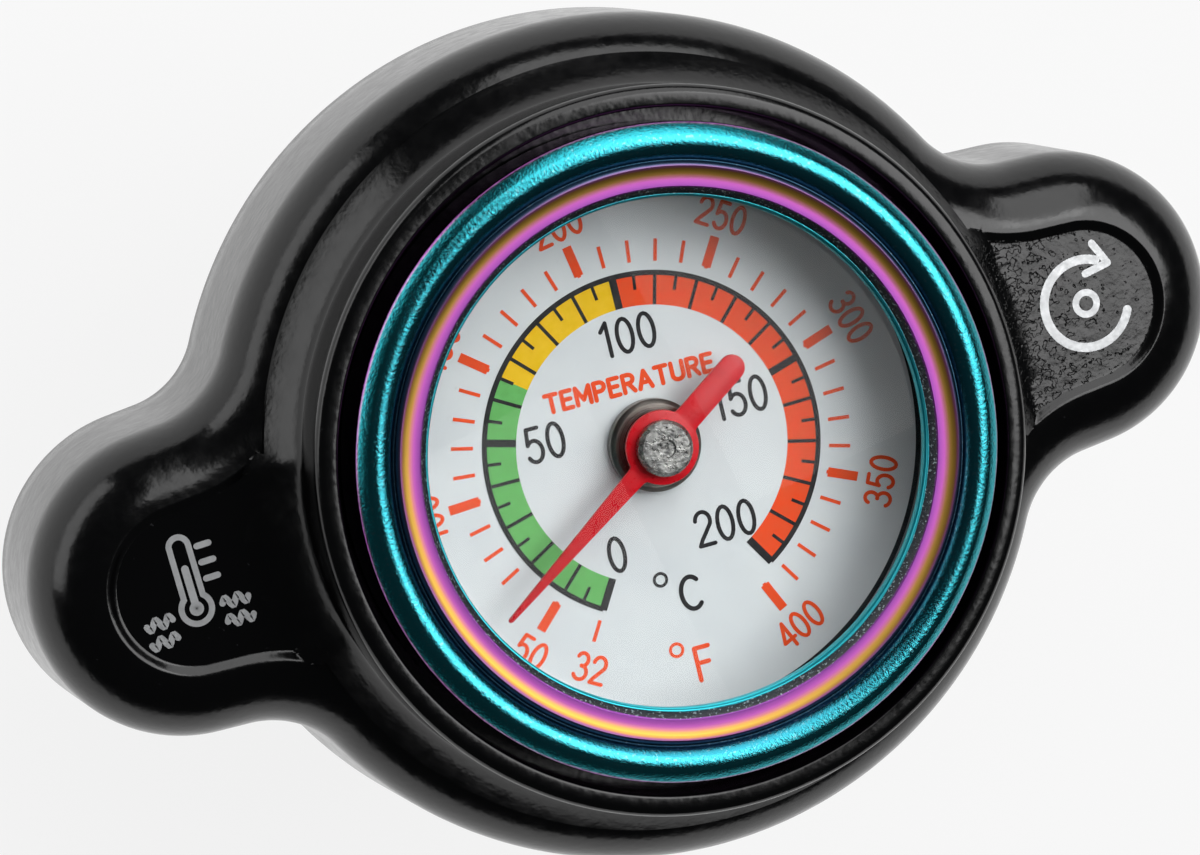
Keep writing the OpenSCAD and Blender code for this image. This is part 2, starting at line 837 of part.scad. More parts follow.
module neck_gasket() {
    color(RUBBER)
        ring(gasket_in_r, gasket_out_r, 0, gasket_t);
}

module spring_holder() {
    hole_z = (holder_roof_z + lip_z) / 2;
    color(STEEL)
        difference() {
            rotate_extrude()
                polygon([
                    [spigot_hole_r, holder_roof_z], [holder_in_r, holder_roof_z],
                    [holder_in_r, lip_z], [lip_r, lip_z], [lip_r, holder_base_z],
                    [holder_r, holder_base_z], [holder_r, holder_top_z], [spigot_hole_r, holder_top_z]
                ]);
            for (turn = [45, 135])
                rotate([0, 0, turn])
                    translate([-holder_r - cut, 0, hole_z])
                        rotate([0, 90, 0])
                            cylinder(h = 2 * (holder_r + cut), r = holder_hole_dia / 2);
        }
}

module pressure_spring() {
    low = cup_top_z + spring_wire / 2 + seat_gap;
    high = holder_roof_z - spring_wire / 2 - seat_gap;
    path = coil_path(spring_r, spring_turns, low, high);
    echo(str("pressure_spring least gap ", coil_gap(path, spring_wire)));
    color(STEEL)
        coil_tube(path, spring_wire / 2, spring_wire / 2);
}

module valve_cup() {
    color(STEEL)
        difference() {
            rotate_extrude()
                polygon([
                    [sleeve_r + seat_gap, cup_base_z], [cup_wall_r - sheet_t, cup_base_z],
                    [cup_wall_r - sheet_t, pan_top_z], [cup_wall_r, pan_top_z],
                    [cup_wall_r, cup_base_z], [cup_r, cup_base_z], [cup_r, cup_top_z],
                    [sleeve_r + seat_gap, cup_top_z]
                ]);
            for (i = [0:vent_count - 1])
                rotate([0, 0, i * 360 / vent_count])
                    translate([cup_vent_ring_r, 0, cup_base_z - cut])
                        cylinder(h = cup_top_z - cup_base_z + 2 * cut, r = cup_vent_r);
        }
}

module valve_sleeve() {
    color(BRASS)
        difference() {
            union() {
                translate([0, 0, sleeve_end_z])
                    cylinder(h = cup_top_z - sleeve_end_z + sleeve_head_h / 2, r = sleeve_r);
                translate([0, 0, cup_top_z])
                    cylinder(h = sleeve_head_h, r = sleeve_head_r);
            }
            translate([0, 0, sleeve_end_z - cut])
                cylinder(h = cup_top_z - sleeve_end_z + sleeve_head_h + 2 * cut, r = sleeve_in_r);
            ring(sleeve_r - vacuum_clip_groove, sleeve_r + cut,
                vacuum_clip_z - vacuum_clip_t - seat_gap, vacuum_clip_z + seat_gap);
        }
}

module seal_pan() {
    color(STEEL)
        difference() {
            rotate_extrude()
                polygon([
                    [sleeve_r + seat_gap, pan_z], [seal_r, pan_z], [seal_r, pan_z - pan_rim_h],
                    [pan_r, pan_z - pan_rim_h], [pan_r, pan_top_z], [sleeve_r + seat_gap, pan_top_z]
                ]);
            for (i = [0:vent_count - 1])
                rotate([0, 0, i * 360 / vent_count])
                    translate([vent_ring_r, 0, pan_z - cut])
                        cylinder(h = sheet_t + 2 * cut, r = vent_r);
        }
}

module valve_seal() {
    ring_in_r = seal_r - seat_gap - seal_ring_w;
    color(RUBBER)
        rotate_extrude()
            polygon([
                [seal_in_r, seal_face_z], [ring_in_r, seal_face_z], [ring_in_r, seal_z],
                [seal_r - seat_gap, seal_z], [seal_r - seat_gap, pan_z], [seal_in_r, pan_z]
            ]);
}

module vacuum_valve() {
    color(BRASS)
        rotate_extrude()
            polygon([
                [vacuum_hole_r, vacuum_z - vacuum_hub_h], [vacuum_hub_r, vacuum_z - vacuum_hub_h],
                [vacuum_hub_r, vacuum_z], [vacuum_dia / 2, vacuum_z], [vacuum_dia / 2, vacuum_top_z],
                [vacuum_hole_r, vacuum_top_z]
            ]);
}

module vacuum_spring() {
    low = vacuum_clip_z + vacuum_wire / 2 + seat_gap;
    high = vacuum_z - vacuum_wire / 2 - seat_gap;
    path = coil_path(vacuum_spring_r, vacuum_turns, low, high);
    echo(str("vacuum_spring least gap ", coil_gap(path, vacuum_wire)));
    color(STEEL)
        coil_tube(path, vacuum_wire / 2, vacuum_wire / 2);
}

module vacuum_clip() {
    color(STEEL)
        snap_ring(sleeve_r - vacuum_clip_groove + seat_gap, vacuum_clip_r,
            vacuum_clip_z - vacuum_clip_t, vacuum_clip_z, vacuum_clip_mouth);
}

cap_body();
bezel_ring();
lens();
lens_gasket();
gauge_can();
dial_plate();
stem_boss();
spindle_bush();
pointer();
pointer_pin();
spindle();
probe_tube();
coil_anchor();
bimetal_coil();
stem_oring();
stem_nut();
retaining_clip();
spring_disc();
neck_gasket();
spring_holder();
pressure_spring();
valve_cup();
valve_sleeve();
seal_pan();
valve_seal();
vacuum_valve();
vacuum_spring();
vacuum_clip();
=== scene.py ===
"""Dress the radiator cap thermometer: casting, bezel, dial, pointer, probe and valve."""

import logging
import math
from dataclasses import dataclass, field
from enum import Enum
from functools import partial
from typing import Iterable, Optional, Sequence, Union

import bmesh
import bpy
import numpy as np
from mathutils import Matrix, Vector


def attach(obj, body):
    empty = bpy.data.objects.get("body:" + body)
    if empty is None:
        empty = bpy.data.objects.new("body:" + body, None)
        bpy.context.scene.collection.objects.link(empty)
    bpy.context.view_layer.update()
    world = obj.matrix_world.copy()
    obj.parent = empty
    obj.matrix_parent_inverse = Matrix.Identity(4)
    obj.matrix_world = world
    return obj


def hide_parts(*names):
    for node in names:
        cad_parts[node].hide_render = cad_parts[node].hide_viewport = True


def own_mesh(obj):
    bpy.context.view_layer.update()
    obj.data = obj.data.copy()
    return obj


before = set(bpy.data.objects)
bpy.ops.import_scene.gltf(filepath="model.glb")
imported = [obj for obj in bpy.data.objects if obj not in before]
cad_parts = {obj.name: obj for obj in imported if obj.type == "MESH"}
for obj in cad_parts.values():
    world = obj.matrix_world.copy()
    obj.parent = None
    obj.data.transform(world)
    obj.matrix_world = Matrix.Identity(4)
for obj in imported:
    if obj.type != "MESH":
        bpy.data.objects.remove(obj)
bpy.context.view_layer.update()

LOG = logging.getLogger("cap_thermometer")
MM = 0.001     # metres
CREASE = 35.0  # degrees, above which an edge stays sharp
PRINT = 0.02   # millimetres, thickness of a print
Piece = bpy.types.Object
Material = bpy.types.Material
NodeTree = bpy.types.NodeTree
Socket = bpy.types.NodeSocket
Sockets = bpy.types.bpy_prop_collection
Array = np.ndarray
Pair = tuple[float, float]
Corner = tuple[float, float, float]
Colour = tuple[float, float, float]
Profile = tuple[Corner, ...]
Value = Union[float, int, bool, Sequence[float], Socket]


class Body(Enum):
    """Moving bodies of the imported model."""

    CAP = "cap"
    NEEDLE = "needle"
    CARRIER = "carrier"
    PRESSURE = "pressure_plunger"
    VACUUM = "vacuum_plunger"


class Way(Enum):
    """Ways of working a tool into a piece."""

    TAKE = "DIFFERENCE"
    JOIN = "UNION"


class Section(Enum):
    """Sections that a wound piece is made of."""

    ROUND = "round"
    FLAT = "flat"


class Facing(Enum):
    """Ways in which a number stands on the dial, as its turn from its bearing."""

    OUTWARD = -90.0
    INWARD = 90.0


# Mesh helpers

def heading(angle: float) -> Array:
    """Return the unit vector at an angle in radians."""
    return np.array((math.cos(angle), math.sin(angle)))


def bands(rows: int, count: int, closed: bool = False) -> list[Sequence[int]]:
    """Return the quads between rows of points that run round a loop.

    Args:
        rows: How many rows.
        count: Points in a row.
        closed: Whether the last row meets the first.

    Returns:
        Point numbers of each quad.
    """
    quads: list[Sequence[int]] = []
    for row in range(rows if closed else rows - 1):
        near, far = row * count, (row + 1) % rows * count
        for k in range(count):
            m = (k + 1) % count
            quads.append((near + k, near + m, far + m, far + k))
    return quads


def add_object(name: str, data: bpy.types.ID) -> Piece:
    """Link a new object to the scene.

    Args:
        name: Name of the object.
        data: What it shows, such as its mesh.

    Returns:
        The new object.
    """
    thing = bpy.data.objects.new(name, data)
    bpy.context.scene.collection.objects.link(thing)
    return thing


def discard(piece: Piece) -> None:
    """Remove a mesh and with it the object that shows it."""
    bpy.data.meshes.remove(piece.data)


def tidy_mesh(mesh: bpy.types.Mesh, crease: float, merge: bool = True) -> None:
    """Merge doubles, turn the normals outward and shade the mesh smooth up to a crease angle.

    Args:
        mesh: The mesh to tidy.
        crease: Angle above which an edge stays sharp.
        merge: Whether vertices in one place become one.
    """
    work = bmesh.new()
    work.from_mesh(mesh)
    if merge:
        bmesh.ops.remove_doubles(work, verts=work.verts, dist=1e-7)
    bmesh.ops.recalc_face_normals(work, faces=work.faces)
    work.to_mesh(mesh)
    work.free()
    mesh.shade_smooth()
    mesh.set_sharp_from_angle(angle=math.radians(crease))


def make_piece(name: str, points: Iterable[Sequence[float]], faces: Iterable[Sequence[int]],
               material: Material, crease: float = CREASE, merge: bool = True) -> Piece:
    """Make an object at the origin from points in millimetres.

    Args:
        name: Name of the piece.
        points: Vertices in millimetres.
        faces: Vertex numbers of each face.
        material: Its finish.
        crease: Angle above which an edge stays sharp.
        merge: Whether vertices in one place become one.

    Returns:
        The new object, linked to the scene.
    """
    mesh = bpy.data.meshes.new(name)
    mesh.from_pydata([(x * MM, y * MM, z * MM) for x, y, z in points], [], [tuple(f) for f in faces])
    mesh.materials.append(material)
    tidy_mesh(mesh, crease, merge)
    return add_object(name, mesh)


def bake(piece: Piece, finish: Optional[Material] = None) -> None:
    """Turn the evaluated object into a plain mesh and drop its modifiers.

    Args:
        piece: The object with its modifiers.
        finish: The one finish that the mesh keeps, where it has one.
    """
    graph = bpy.context.evaluated_depsgraph_get()
    fresh = bpy.data.meshes.new_from_object(piece.evaluated_get(graph))
    old = piece.data
    piece.modifiers.clear()
    piece.data = fresh
    bpy.data.meshes.remove(old)
    if finish:
        fresh.materials.clear()
        fresh.materials.append(finish)
        for face in fresh.polygons:
            face.material_index = 0


def carve(piece: Piece, tool: Piece, way: Way, crease: float = CREASE) -> None:
    """Cut a tool out of a piece, or join it on, and remove the tool.

    Args:
        piece: The piece that is worked.
        tool: A closed mesh.
        way: Whether the tool is taken out or joined on.
        crease: Angle above which an edge stays sharp.
    """
    modifier = piece.modifiers.new("carve", "BOOLEAN")
    modifier.operation = way.value
    modifier.solver = "EXACT"
    modifier.object = tool
    bake(piece)
    discard(tool)
    tidy_mesh(piece.data, crease)


def join_pieces(name: str, pieces: Sequence[Piece]) -> Piece:
    """Join several objects of one finish into one plain mesh.

    Args:
        name: Name of the joined piece.
        pieces: Objects at the origin, which are removed.

    Returns:
        The joined object.
    """
    work = bmesh.new()
    for piece in pieces:
        work.from_mesh(piece.data)
    mesh = bpy.data.meshes.new(name)
    work.to_mesh(mesh)
    work.free()
    mesh.materials.append(pieces[0].data.materials[0])
    for piece in pieces:
        discard(piece)
    return add_object(name, mesh)


def rounded(corners: Sequence[Corner], parts: int = 5) -> list[Pair]:
    """Round the corners of a closed profile.

    Args:
        corners: Radius, height and corner radius of each corner, in millimetres.
        parts: Steps in each rounded corner.

    Returns:
        The points of the rounded profile.
    """
    out: list[Pair] = []
    for place, (x, z, radius) in enumerate(corners):
        if radius <= 0:
            out.append((x, z))
            continue
        here = Vector((x, z))
        back = (Vector(corners[place - 1][:2]) - here).normalized()
        ahead = (Vector(corners[(place + 1) % len(corners)][:2]) - here).normalized()
        half = back.angle(ahead) / 2
        centre = here + (back + ahead).normalized() * (radius / math.sin(half))
        first = here + back * (radius / math.tan(half)) - centre
        last = here + ahead * (radius / math.tan(half)) - centre
        begin = math.atan2(first.y, first.x)
        sweep = (math.atan2(last.y, last.x) - begin + math.pi) % (2 * math.pi) - math.pi
        for step in range(parts + 1):
            angle = begin + sweep * step / parts
            out.append((centre.x + radius * math.cos(angle), centre.y + radius * math.sin(angle)))
    return out


def lathe(name: str, profile: Sequence[Pair], material: Material, turns: int = 160,
          crease: float = CREASE, start: float = 0.0, sweep: float = 360.0) -> Piece:
    """Turn a closed profile about the Z axis.

    Args:
        name: Name of the piece.
        profile: Radius and height of each point, in millimetres.
        material: Its finish.
        turns: Steps round the axis.
        crease: Angle above which an edge stays sharp.
        start: First angle in degrees, for a part turn.
        sweep: Angle covered, in degrees.

    Returns:
        The turned piece.
    """
    whole = sweep >= 360
    stations = turns if whole else turns + 1
    count = len(profile)
    points = []
    for station in range(stations):
        angle = math.radians(start + sweep * station / turns)
        points += [(r * math.cos(angle), r * math.sin(angle), z) for r, z in profile]
    faces: list[Sequence[int]] = [(quad[0], *quad[:0:-1]) for quad in bands(stations, count, whole)]
    if not whole:
        faces += [range(count)[::-1], range(turns * count, stations * count)]
    return make_piece(name, points, faces, material, crease)


def arc(centre: Pair, radius: float, first: float, last: float, parts: int) -> list[Pair]:
    """Return points on an arc.

    Args:
        centre: Middle of the arc.
        radius: Its radius.
        first: First angle in degrees.
        last: Last angle in degrees.
        parts: Steps along it.

    Returns:
        The points, both ends included.
    """
    angles = [math.radians(first + (last - first) * k / parts) for k in range(parts + 1)]
    return [(centre[0] + radius * math.cos(a), centre[1] + radius * math.sin(a)) for a in angles]


class Stencil:
    """Gathers flat strokes and makes them into one thin raised print."""

    def __init__(self) -> None:
        """Start with no strokes."""
        self.points: list[Sequence[float]] = []
        self.faces: list[Sequence[int]] = []

    def stroke(self, path: Sequence[Pair], width: float, low: float, high: float,
               caps: bool = True, loop: bool = False) -> None:
        """Add one stroke as a closed thin slab.

        Args:
            path: Points along its middle, in millimetres.
            width: Its width.
            low: Height of its underside.
            high: Height of its face.
            caps: Whether its ends are round.
            loop: Whether it closes on itself.
        """
        line = np.array(path, dtype=float)
        count = len(line)
        ahead = np.roll(line, -1, axis=0) - line
        back = line - np.roll(line, 1, axis=0)
        if not loop:
            ahead[-1], back[0] = back[-1], ahead[0]
        ahead /= np.linalg.norm(ahead, axis=1)[:, None]
        back /= np.linalg.norm(back, axis=1)[:, None]
        along = ahead + back
        along /= np.linalg.norm(along, axis=1)[:, None]
        side = np.stack([-along[:, 1], along[:, 0]], axis=1)
        reach = width / 2 / np.maximum(np.sum(along * ahead, axis=1), 0.4)
        left, right = line + side * reach[:, None], line - side * reach[:, None]
        outline: list[Array] = list(left) + list(right)
        tops = [(k, k + 1, count + k + 1, count + k) for k in range(count - 1)]
        if loop:
            tops.append((count - 1, 0, count, 2 * count - 1))
            rims = [list(range(count)), list(range(count, 2 * count))[::-1]]
        else:
            rim = list(range(count))
            for end, sign in ((count - 1, 1), (0, -1)):
                cap: list[int] = []
                if caps:
                    base = math.atan2(side[end][1], side[end][0]) + (0 if sign > 0 else math.pi)
                    for k in range(1, 6):
                        cap.append(len(outline))
                        outline.append(line[end] + width / 2 * heading(base - math.pi * k / 6))
                    ends = (end, count + end) if sign > 0 else (count + end, end)
                    tops.append((ends[0], *cap, ends[1]))
                rim += cap + (list(range(count, 2 * count))[::-1] if sign > 0 else [])
            rims = [rim]
        base, size = len(self.points), len(outline)
        self.points += [(p[0], p[1], high) for p in outline] + [(p[0], p[1], low) for p in outline]
        self.faces += [[base + v for v in face][::-1] for face in tops]
        self.faces += [[base + size + v for v in face] for face in tops]
        for rim in rims:
            for k, v in enumerate(rim):
                w = rim[(k + 1) % len(rim)]
                self.faces.append((base + v, base + w, base + size + w, base + size + v))

    def make(self, name: str, material: Material) -> Piece:
        """Make the print an object with its own finish."""
        return make_piece(name, self.points, self.faces, material, merge=False)


class Glyphs:
    """Strokes of the plain numerals and letters, on a body one unit tall."""

    WIDTH = {"1": 0.34, "C": 0.66, "F": 0.5, "T": 0.62, "E": 0.5, "M": 0.74, "P": 0.54, "R": 0.56,
             "A": 0.68, "U": 0.6}
    PLAIN_WIDTH = 0.53
    CLOSED = "0"
    LAYER = 0.002

    @staticmethod
    def bowl(x: float, y: float, across: float, up: float, first: float, last: float) -> list[Pair]:
        """Return points on an elliptical bowl between two angles in degrees."""
        angles = [math.radians(first + (last - first) * k / 20) for k in range(21)]
        return [(x + across * math.cos(a), y + up * math.sin(a)) for a in angles]

    @classmethod
    def strokes(cls, sign: str) -> list[list[Pair]]:
        """Return the strokes of one sign.

        Args:
            sign: A numeral or letter.

        Returns:
            The path of each stroke.
        """
        bowl, stem = cls.bowl, [(0.0, 0.0), (0.0, 1.0)]
        drawn = {
            "0": [bowl(0.26, 0.5, 0.26, 0.5, 0, 342)],
            "1": [[(0.02, 0.76), (0.24, 1.0)], [(0.24, 1.0), (0.24, 0.0)]],
            "2": [bowl(0.26, 0.73, 0.26, 0.27, 172, -28) + [(0.3, 0.38), (0.12, 0.18), (0.0, 0.0)],
                  [(0.0, 0.0), (0.53, 0.0)]],
            "3": [bowl(0.24, 0.755, 0.235, 0.245, 158, -90), bowl(0.24, 0.265, 0.28, 0.265, 90, -155)],
            "4": [[(0.4, 0.0), (0.4, 1.0)], [(0.4, 1.0), (0.0, 0.3)], [(0.0, 0.3), (0.56, 0.3)]],
            "5": [[(0.48, 1.0), (0.1, 1.0)], [(0.1, 1.0), (0.05, 0.53)],
                  bowl(0.25, 0.32, 0.27, 0.32, 137, -150)],
            "C": [bowl(0.38, 0.5, 0.38, 0.5, 48, 312)],
            "F": [stem, [(0.0, 1.0), (0.5, 1.0)], [(0.0, 0.53), (0.42, 0.53)]],
            "T": [[(0.31, 0.0), (0.31, 1.0)], [(0.0, 1.0), (0.62, 1.0)]],
            "E": [stem, [(0.0, 1.0), (0.5, 1.0)], [(0.0, 0.52), (0.44, 0.52)],
                  [(0.0, 0.0), (0.5, 0.0)]],
            "M": [stem, [(0.0, 1.0), (0.37, 0.25)], [(0.37, 0.25), (0.74, 1.0)],
                  [(0.74, 1.0), (0.74, 0.0)]],
            "P": [stem, [(0.0, 1.0)] + bowl(0.28, 0.74, 0.26, 0.26, 90, -90) + [(0.0, 0.48)]],
            "R": [stem, [(0.0, 1.0)] + bowl(0.28, 0.75, 0.26, 0.25, 90, -90) + [(0.0, 0.5)],
                  [(0.26, 0.5), (0.56, 0.0)]],
            "A": [[(0.0, 0.0), (0.34, 1.0)], [(0.34, 1.0), (0.68, 0.0)], [(0.12, 0.34), (0.56, 0.34)]],
            "U": [[(0.0, 1.0), (0.0, 0.3)] + bowl(0.3, 0.3, 0.3, 0.3, 190, 350)
                  + [(0.6, 0.3), (0.6, 1.0)]],
        }
        return drawn[sign]

    @classmethod
    def width(cls, sign: str) -> float:
        """Return the width of one sign."""
        return cls.WIDTH.get(sign, cls.PLAIN_WIDTH)

    @classmethod
    def write(cls, stencil: Stencil, text: str, middle: Pair, turn: float, height: float, weight: float,
              level: float, gap: float = 0.2, slim: float = 0.88) -> None:
        """Write a line of signs centred on a point.

        Args:
            stencil: The print that takes the strokes.
            text: Signs to write.
            middle: Middle of the line, in millimetres.
            turn: Direction of the line in degrees.
            height: Height of the signs between the middles of their strokes.
            weight: Width of a stroke.
            level: Height of the face that carries the print.
            gap: Space between signs, in units of their height.
            slim: How much narrower than drawn the signs are.
        """
        total = sum(cls.width(sign) for sign in text) * slim + gap * (len(text) - 1)
        cosine, sine = math.cos(math.radians(turn)), math.sin(math.radians(turn))
        across, layer = -total / 2, 0
        for sign in text:
            for path in cls.strokes(sign):
                spots = [((across + x * slim) * height, (y - 0.5) * height) for x, y in path]
                placed = [(middle[0] + u * cosine - v * sine, middle[1] + u * sine + v * cosine)
                          for u, v in spots]
                stencil.stroke(placed, weight, level, level + PRINT + cls.LAYER * (layer % 5),
                               loop=sign == cls.CLOSED)
                layer += 1
            across += cls.width(sign) * slim + gap


# Node trees

class NodeWeave:
    """Places and links the nodes of one tree."""

    def __init__(self, tree: NodeTree) -> None:
        """Take the tree that the nodes go into."""
        self.tree = tree

    def add(self, kind: str, values: Optional[dict[Union[str, int], Value]] = None) -> bpy.types.Node:
        """Add a node and set or link its inputs.

        Args:
            kind: Type of the node.
            values: Inputs by name or number, each a value or a socket to link.

        Returns:
            The new node.
        """
        node = self.tree.nodes.new(kind)
        for name, value in (values or {}).items():
            self.feed(node, name, value)
        return node

    def feed(self, node: bpy.types.Node, name: Union[str, int], value: Value) -> None:
        """Set one input of a node, or link a socket to it.

        Args:
            node: The node.
            name: Name or number of the input.
            value: Its value, or a socket to link.
        """
        if isinstance(value, Socket):
            self.tree.links.new(value, node.inputs[name])
        else:
            node.inputs[name].default_value = value

    def math(self, operation: str, first: Value, second: Value = 0.0, third: Value = 0.0) -> Socket:
        """Add a Math node.

        Args:
            operation: What it works out.
            first: Its first value.
            second: Its second value.
            third: Its third value.

        Returns:
            Its result.
        """
        node = self.add("ShaderNodeMath", {0: first, 1: second, 2: third})
        node.operation = operation
        return node.outputs[0]

    def polar(self, radius: Value, angle: Value, height: Value) -> Socket:
        """Return the place at a radius, an angle and a height about the Z axis."""
        return self.add("ShaderNodeCombineXYZ", {
            0: self.math("MULTIPLY", radius, self.math("COSINE", angle)),
            1: self.math("MULTIPLY", radius, self.math("SINE", angle)), 2: height}).outputs[0]

    def away(self, place: Socket) -> tuple[Socket, Socket]:
        """Return a place's distance from the Z axis, and its height.

        Args:
            place: A place in the object.

        Returns:
            The distance and the height.
        """
        parts = self.add("ShaderNodeSeparateXYZ", {0: place}).outputs
        flat = self.add("ShaderNodeCombineXYZ", {0: parts[0], 1: parts[1]})
        length = self.add("ShaderNodeVectorMath", {0: flat.outputs[0]})
        length.operation = "LENGTH"
        return length.outputs["Value"], parts[2]

    def noise(self, place: Value, scale: Value, detail: float, rough: float = 0.5) -> Socket:
        """Return noise of a scale and detail at a place."""
        return self.add("ShaderNodeTexNoise", {
            "Vector": place, "Scale": scale, "Detail": detail, "Roughness": rough}).outputs[0]

    def span(self, value: Socket, first: Value, last: Value, low: Value = 0.0,
             high: Value = 1.0) -> Socket:
        """Map a value from one span to another."""
        return self.add("ShaderNodeMapRange", {
            "Value": value, "From Min": first, "From Max": last, "To Min": low,
            "To Max": high}).outputs[0]


class ShapeTree:
    """Geometry Nodes tree with named sizes that makes one plain mesh at a time."""

    def __init__(self, name: str, numbers: Sequence[str]) -> None:
        """Build the tree with a count, its sizes and a finish as inputs.

        Args:
            name: Name of the tree.
            numbers: Names of its sizes.
        """
        self.tree = bpy.data.node_groups.new(name, "GeometryNodeTree")
        face = self.tree.interface
        face.new_socket(name="Shape", in_out="OUTPUT", socket_type="NodeSocketGeometry")
        kinds = {"Count": "Int", **dict.fromkeys(numbers, "Float"), "Finish": "Material"}
        self.sockets = {
            key: face.new_socket(name=key, in_out="INPUT", socket_type=f"NodeSocket{kind}")
            for key, kind in kinds.items()}
        weave = NodeWeave(self.tree)
        given = weave.add("NodeGroupInput").outputs
        real = weave.add("GeometryNodeRealizeInstances", {"Geometry": self.draw(weave, given)})
        dressed = weave.add("GeometryNodeSetMaterial", {
            "Geometry": real.outputs[0], "Material": given["Finish"]})
        weave.add("NodeGroupOutput", {"Shape": dressed.outputs[0]})

    def draw(self, weave: NodeWeave, given: Sockets) -> Socket:
        """Draw the shape from the sockets of its inputs and return its geometry."""
        raise NotImplementedError

    def run(self, name: str, finish: Material, **values: float) -> Piece:
        """Make one piece as a plain mesh.

        Args:
            name: Name of the piece.
            finish: Its finish.
            values: Its count and sizes, in metres and radians.

        Returns:
            The piece as an object.
        """
        piece = add_object(name, bpy.data.meshes.new(name))
        modifier = piece.modifiers.new("shape", "NODES")
        modifier.node_group = self.tree
        for key, value in {**values, "Finish": finish}.items():
            modifier[self.sockets[key].identifier] = value
        bake(piece, finish)
        return piece


class FanTree(ShapeTree):
    """Lays flat bars in a fan about the dial's middle."""

    def __init__(self) -> None:
        """Build the tree once."""
        super().__init__("fan_of_bars",
                         ("First", "Step", "Inner", "Outer", "Width", "Thickness", "Level"))

    def draw(self, weave: NodeWeave, given: Sockets) -> Socket:
        """Stand a bar on each point of a circle.

        Args:
            weave: The tree in hand.
            given: The sockets of its inputs.

        Returns:
            The bars as instances.
        """
        index = weave.add("GeometryNodeInputIndex").outputs[0]
        angle = weave.math("MULTIPLY_ADD", index, given["Step"], given["First"])
        middle = weave.math("MULTIPLY", weave.math("ADD", given["Inner"], given["Outer"]), 0.5)
        lift = weave.math("MULTIPLY_ADD", given["Thickness"], 0.5, given["Level"])
        points = weave.add("GeometryNodePoints", {
            "Count": given["Count"], "Position": weave.polar(middle, angle, lift)})
        size = weave.add("ShaderNodeCombineXYZ", {
            0: weave.math("SUBTRACT", given["Outer"], given["Inner"]), 1: given["Width"],
            2: given["Thickness"]})
        bar = weave.add("GeometryNodeMeshCube", {"Size": size.outputs[0]})
        turn = weave.add("FunctionNodeEulerToRotation", {
            0: weave.add("ShaderNodeCombineXYZ", {2: angle}).outputs[0]})
        return weave.add("GeometryNodeInstanceOnPoints", {
            "Points": points.outputs[0], "Instance": bar.outputs[0],
            "Rotation": turn.outputs[0]}).outputs[0]

    def lay(self, name: str, ink: Material, count: int, first: float, step: float, inner: float,
            outer: float, width: float, level: float, thick: float = PRINT) -> Piece:
        """Lay one fan of bars and return it as a plain mesh.

        Args:
            name: Name of the object.
            ink: Its finish.
            count: How many bars.
            first: Angle of the first bar in degrees.
            step: Angle from bar to bar in degrees.
            inner: Radius of the inner ends, in millimetres.
            outer: Radius of the outer ends.
            width: Width of a bar.
            level: Height of the face that carries the bars.
            thick: Thickness of the print.

        Returns:
            The fan as an object.
        """
        return self.run(name, ink, Count=count, First=math.radians(first), Step=math.radians(step),
                        Inner=inner * MM, Outer=outer * MM, Width=width * MM, Thickness=thick * MM,
                        Level=level * MM)


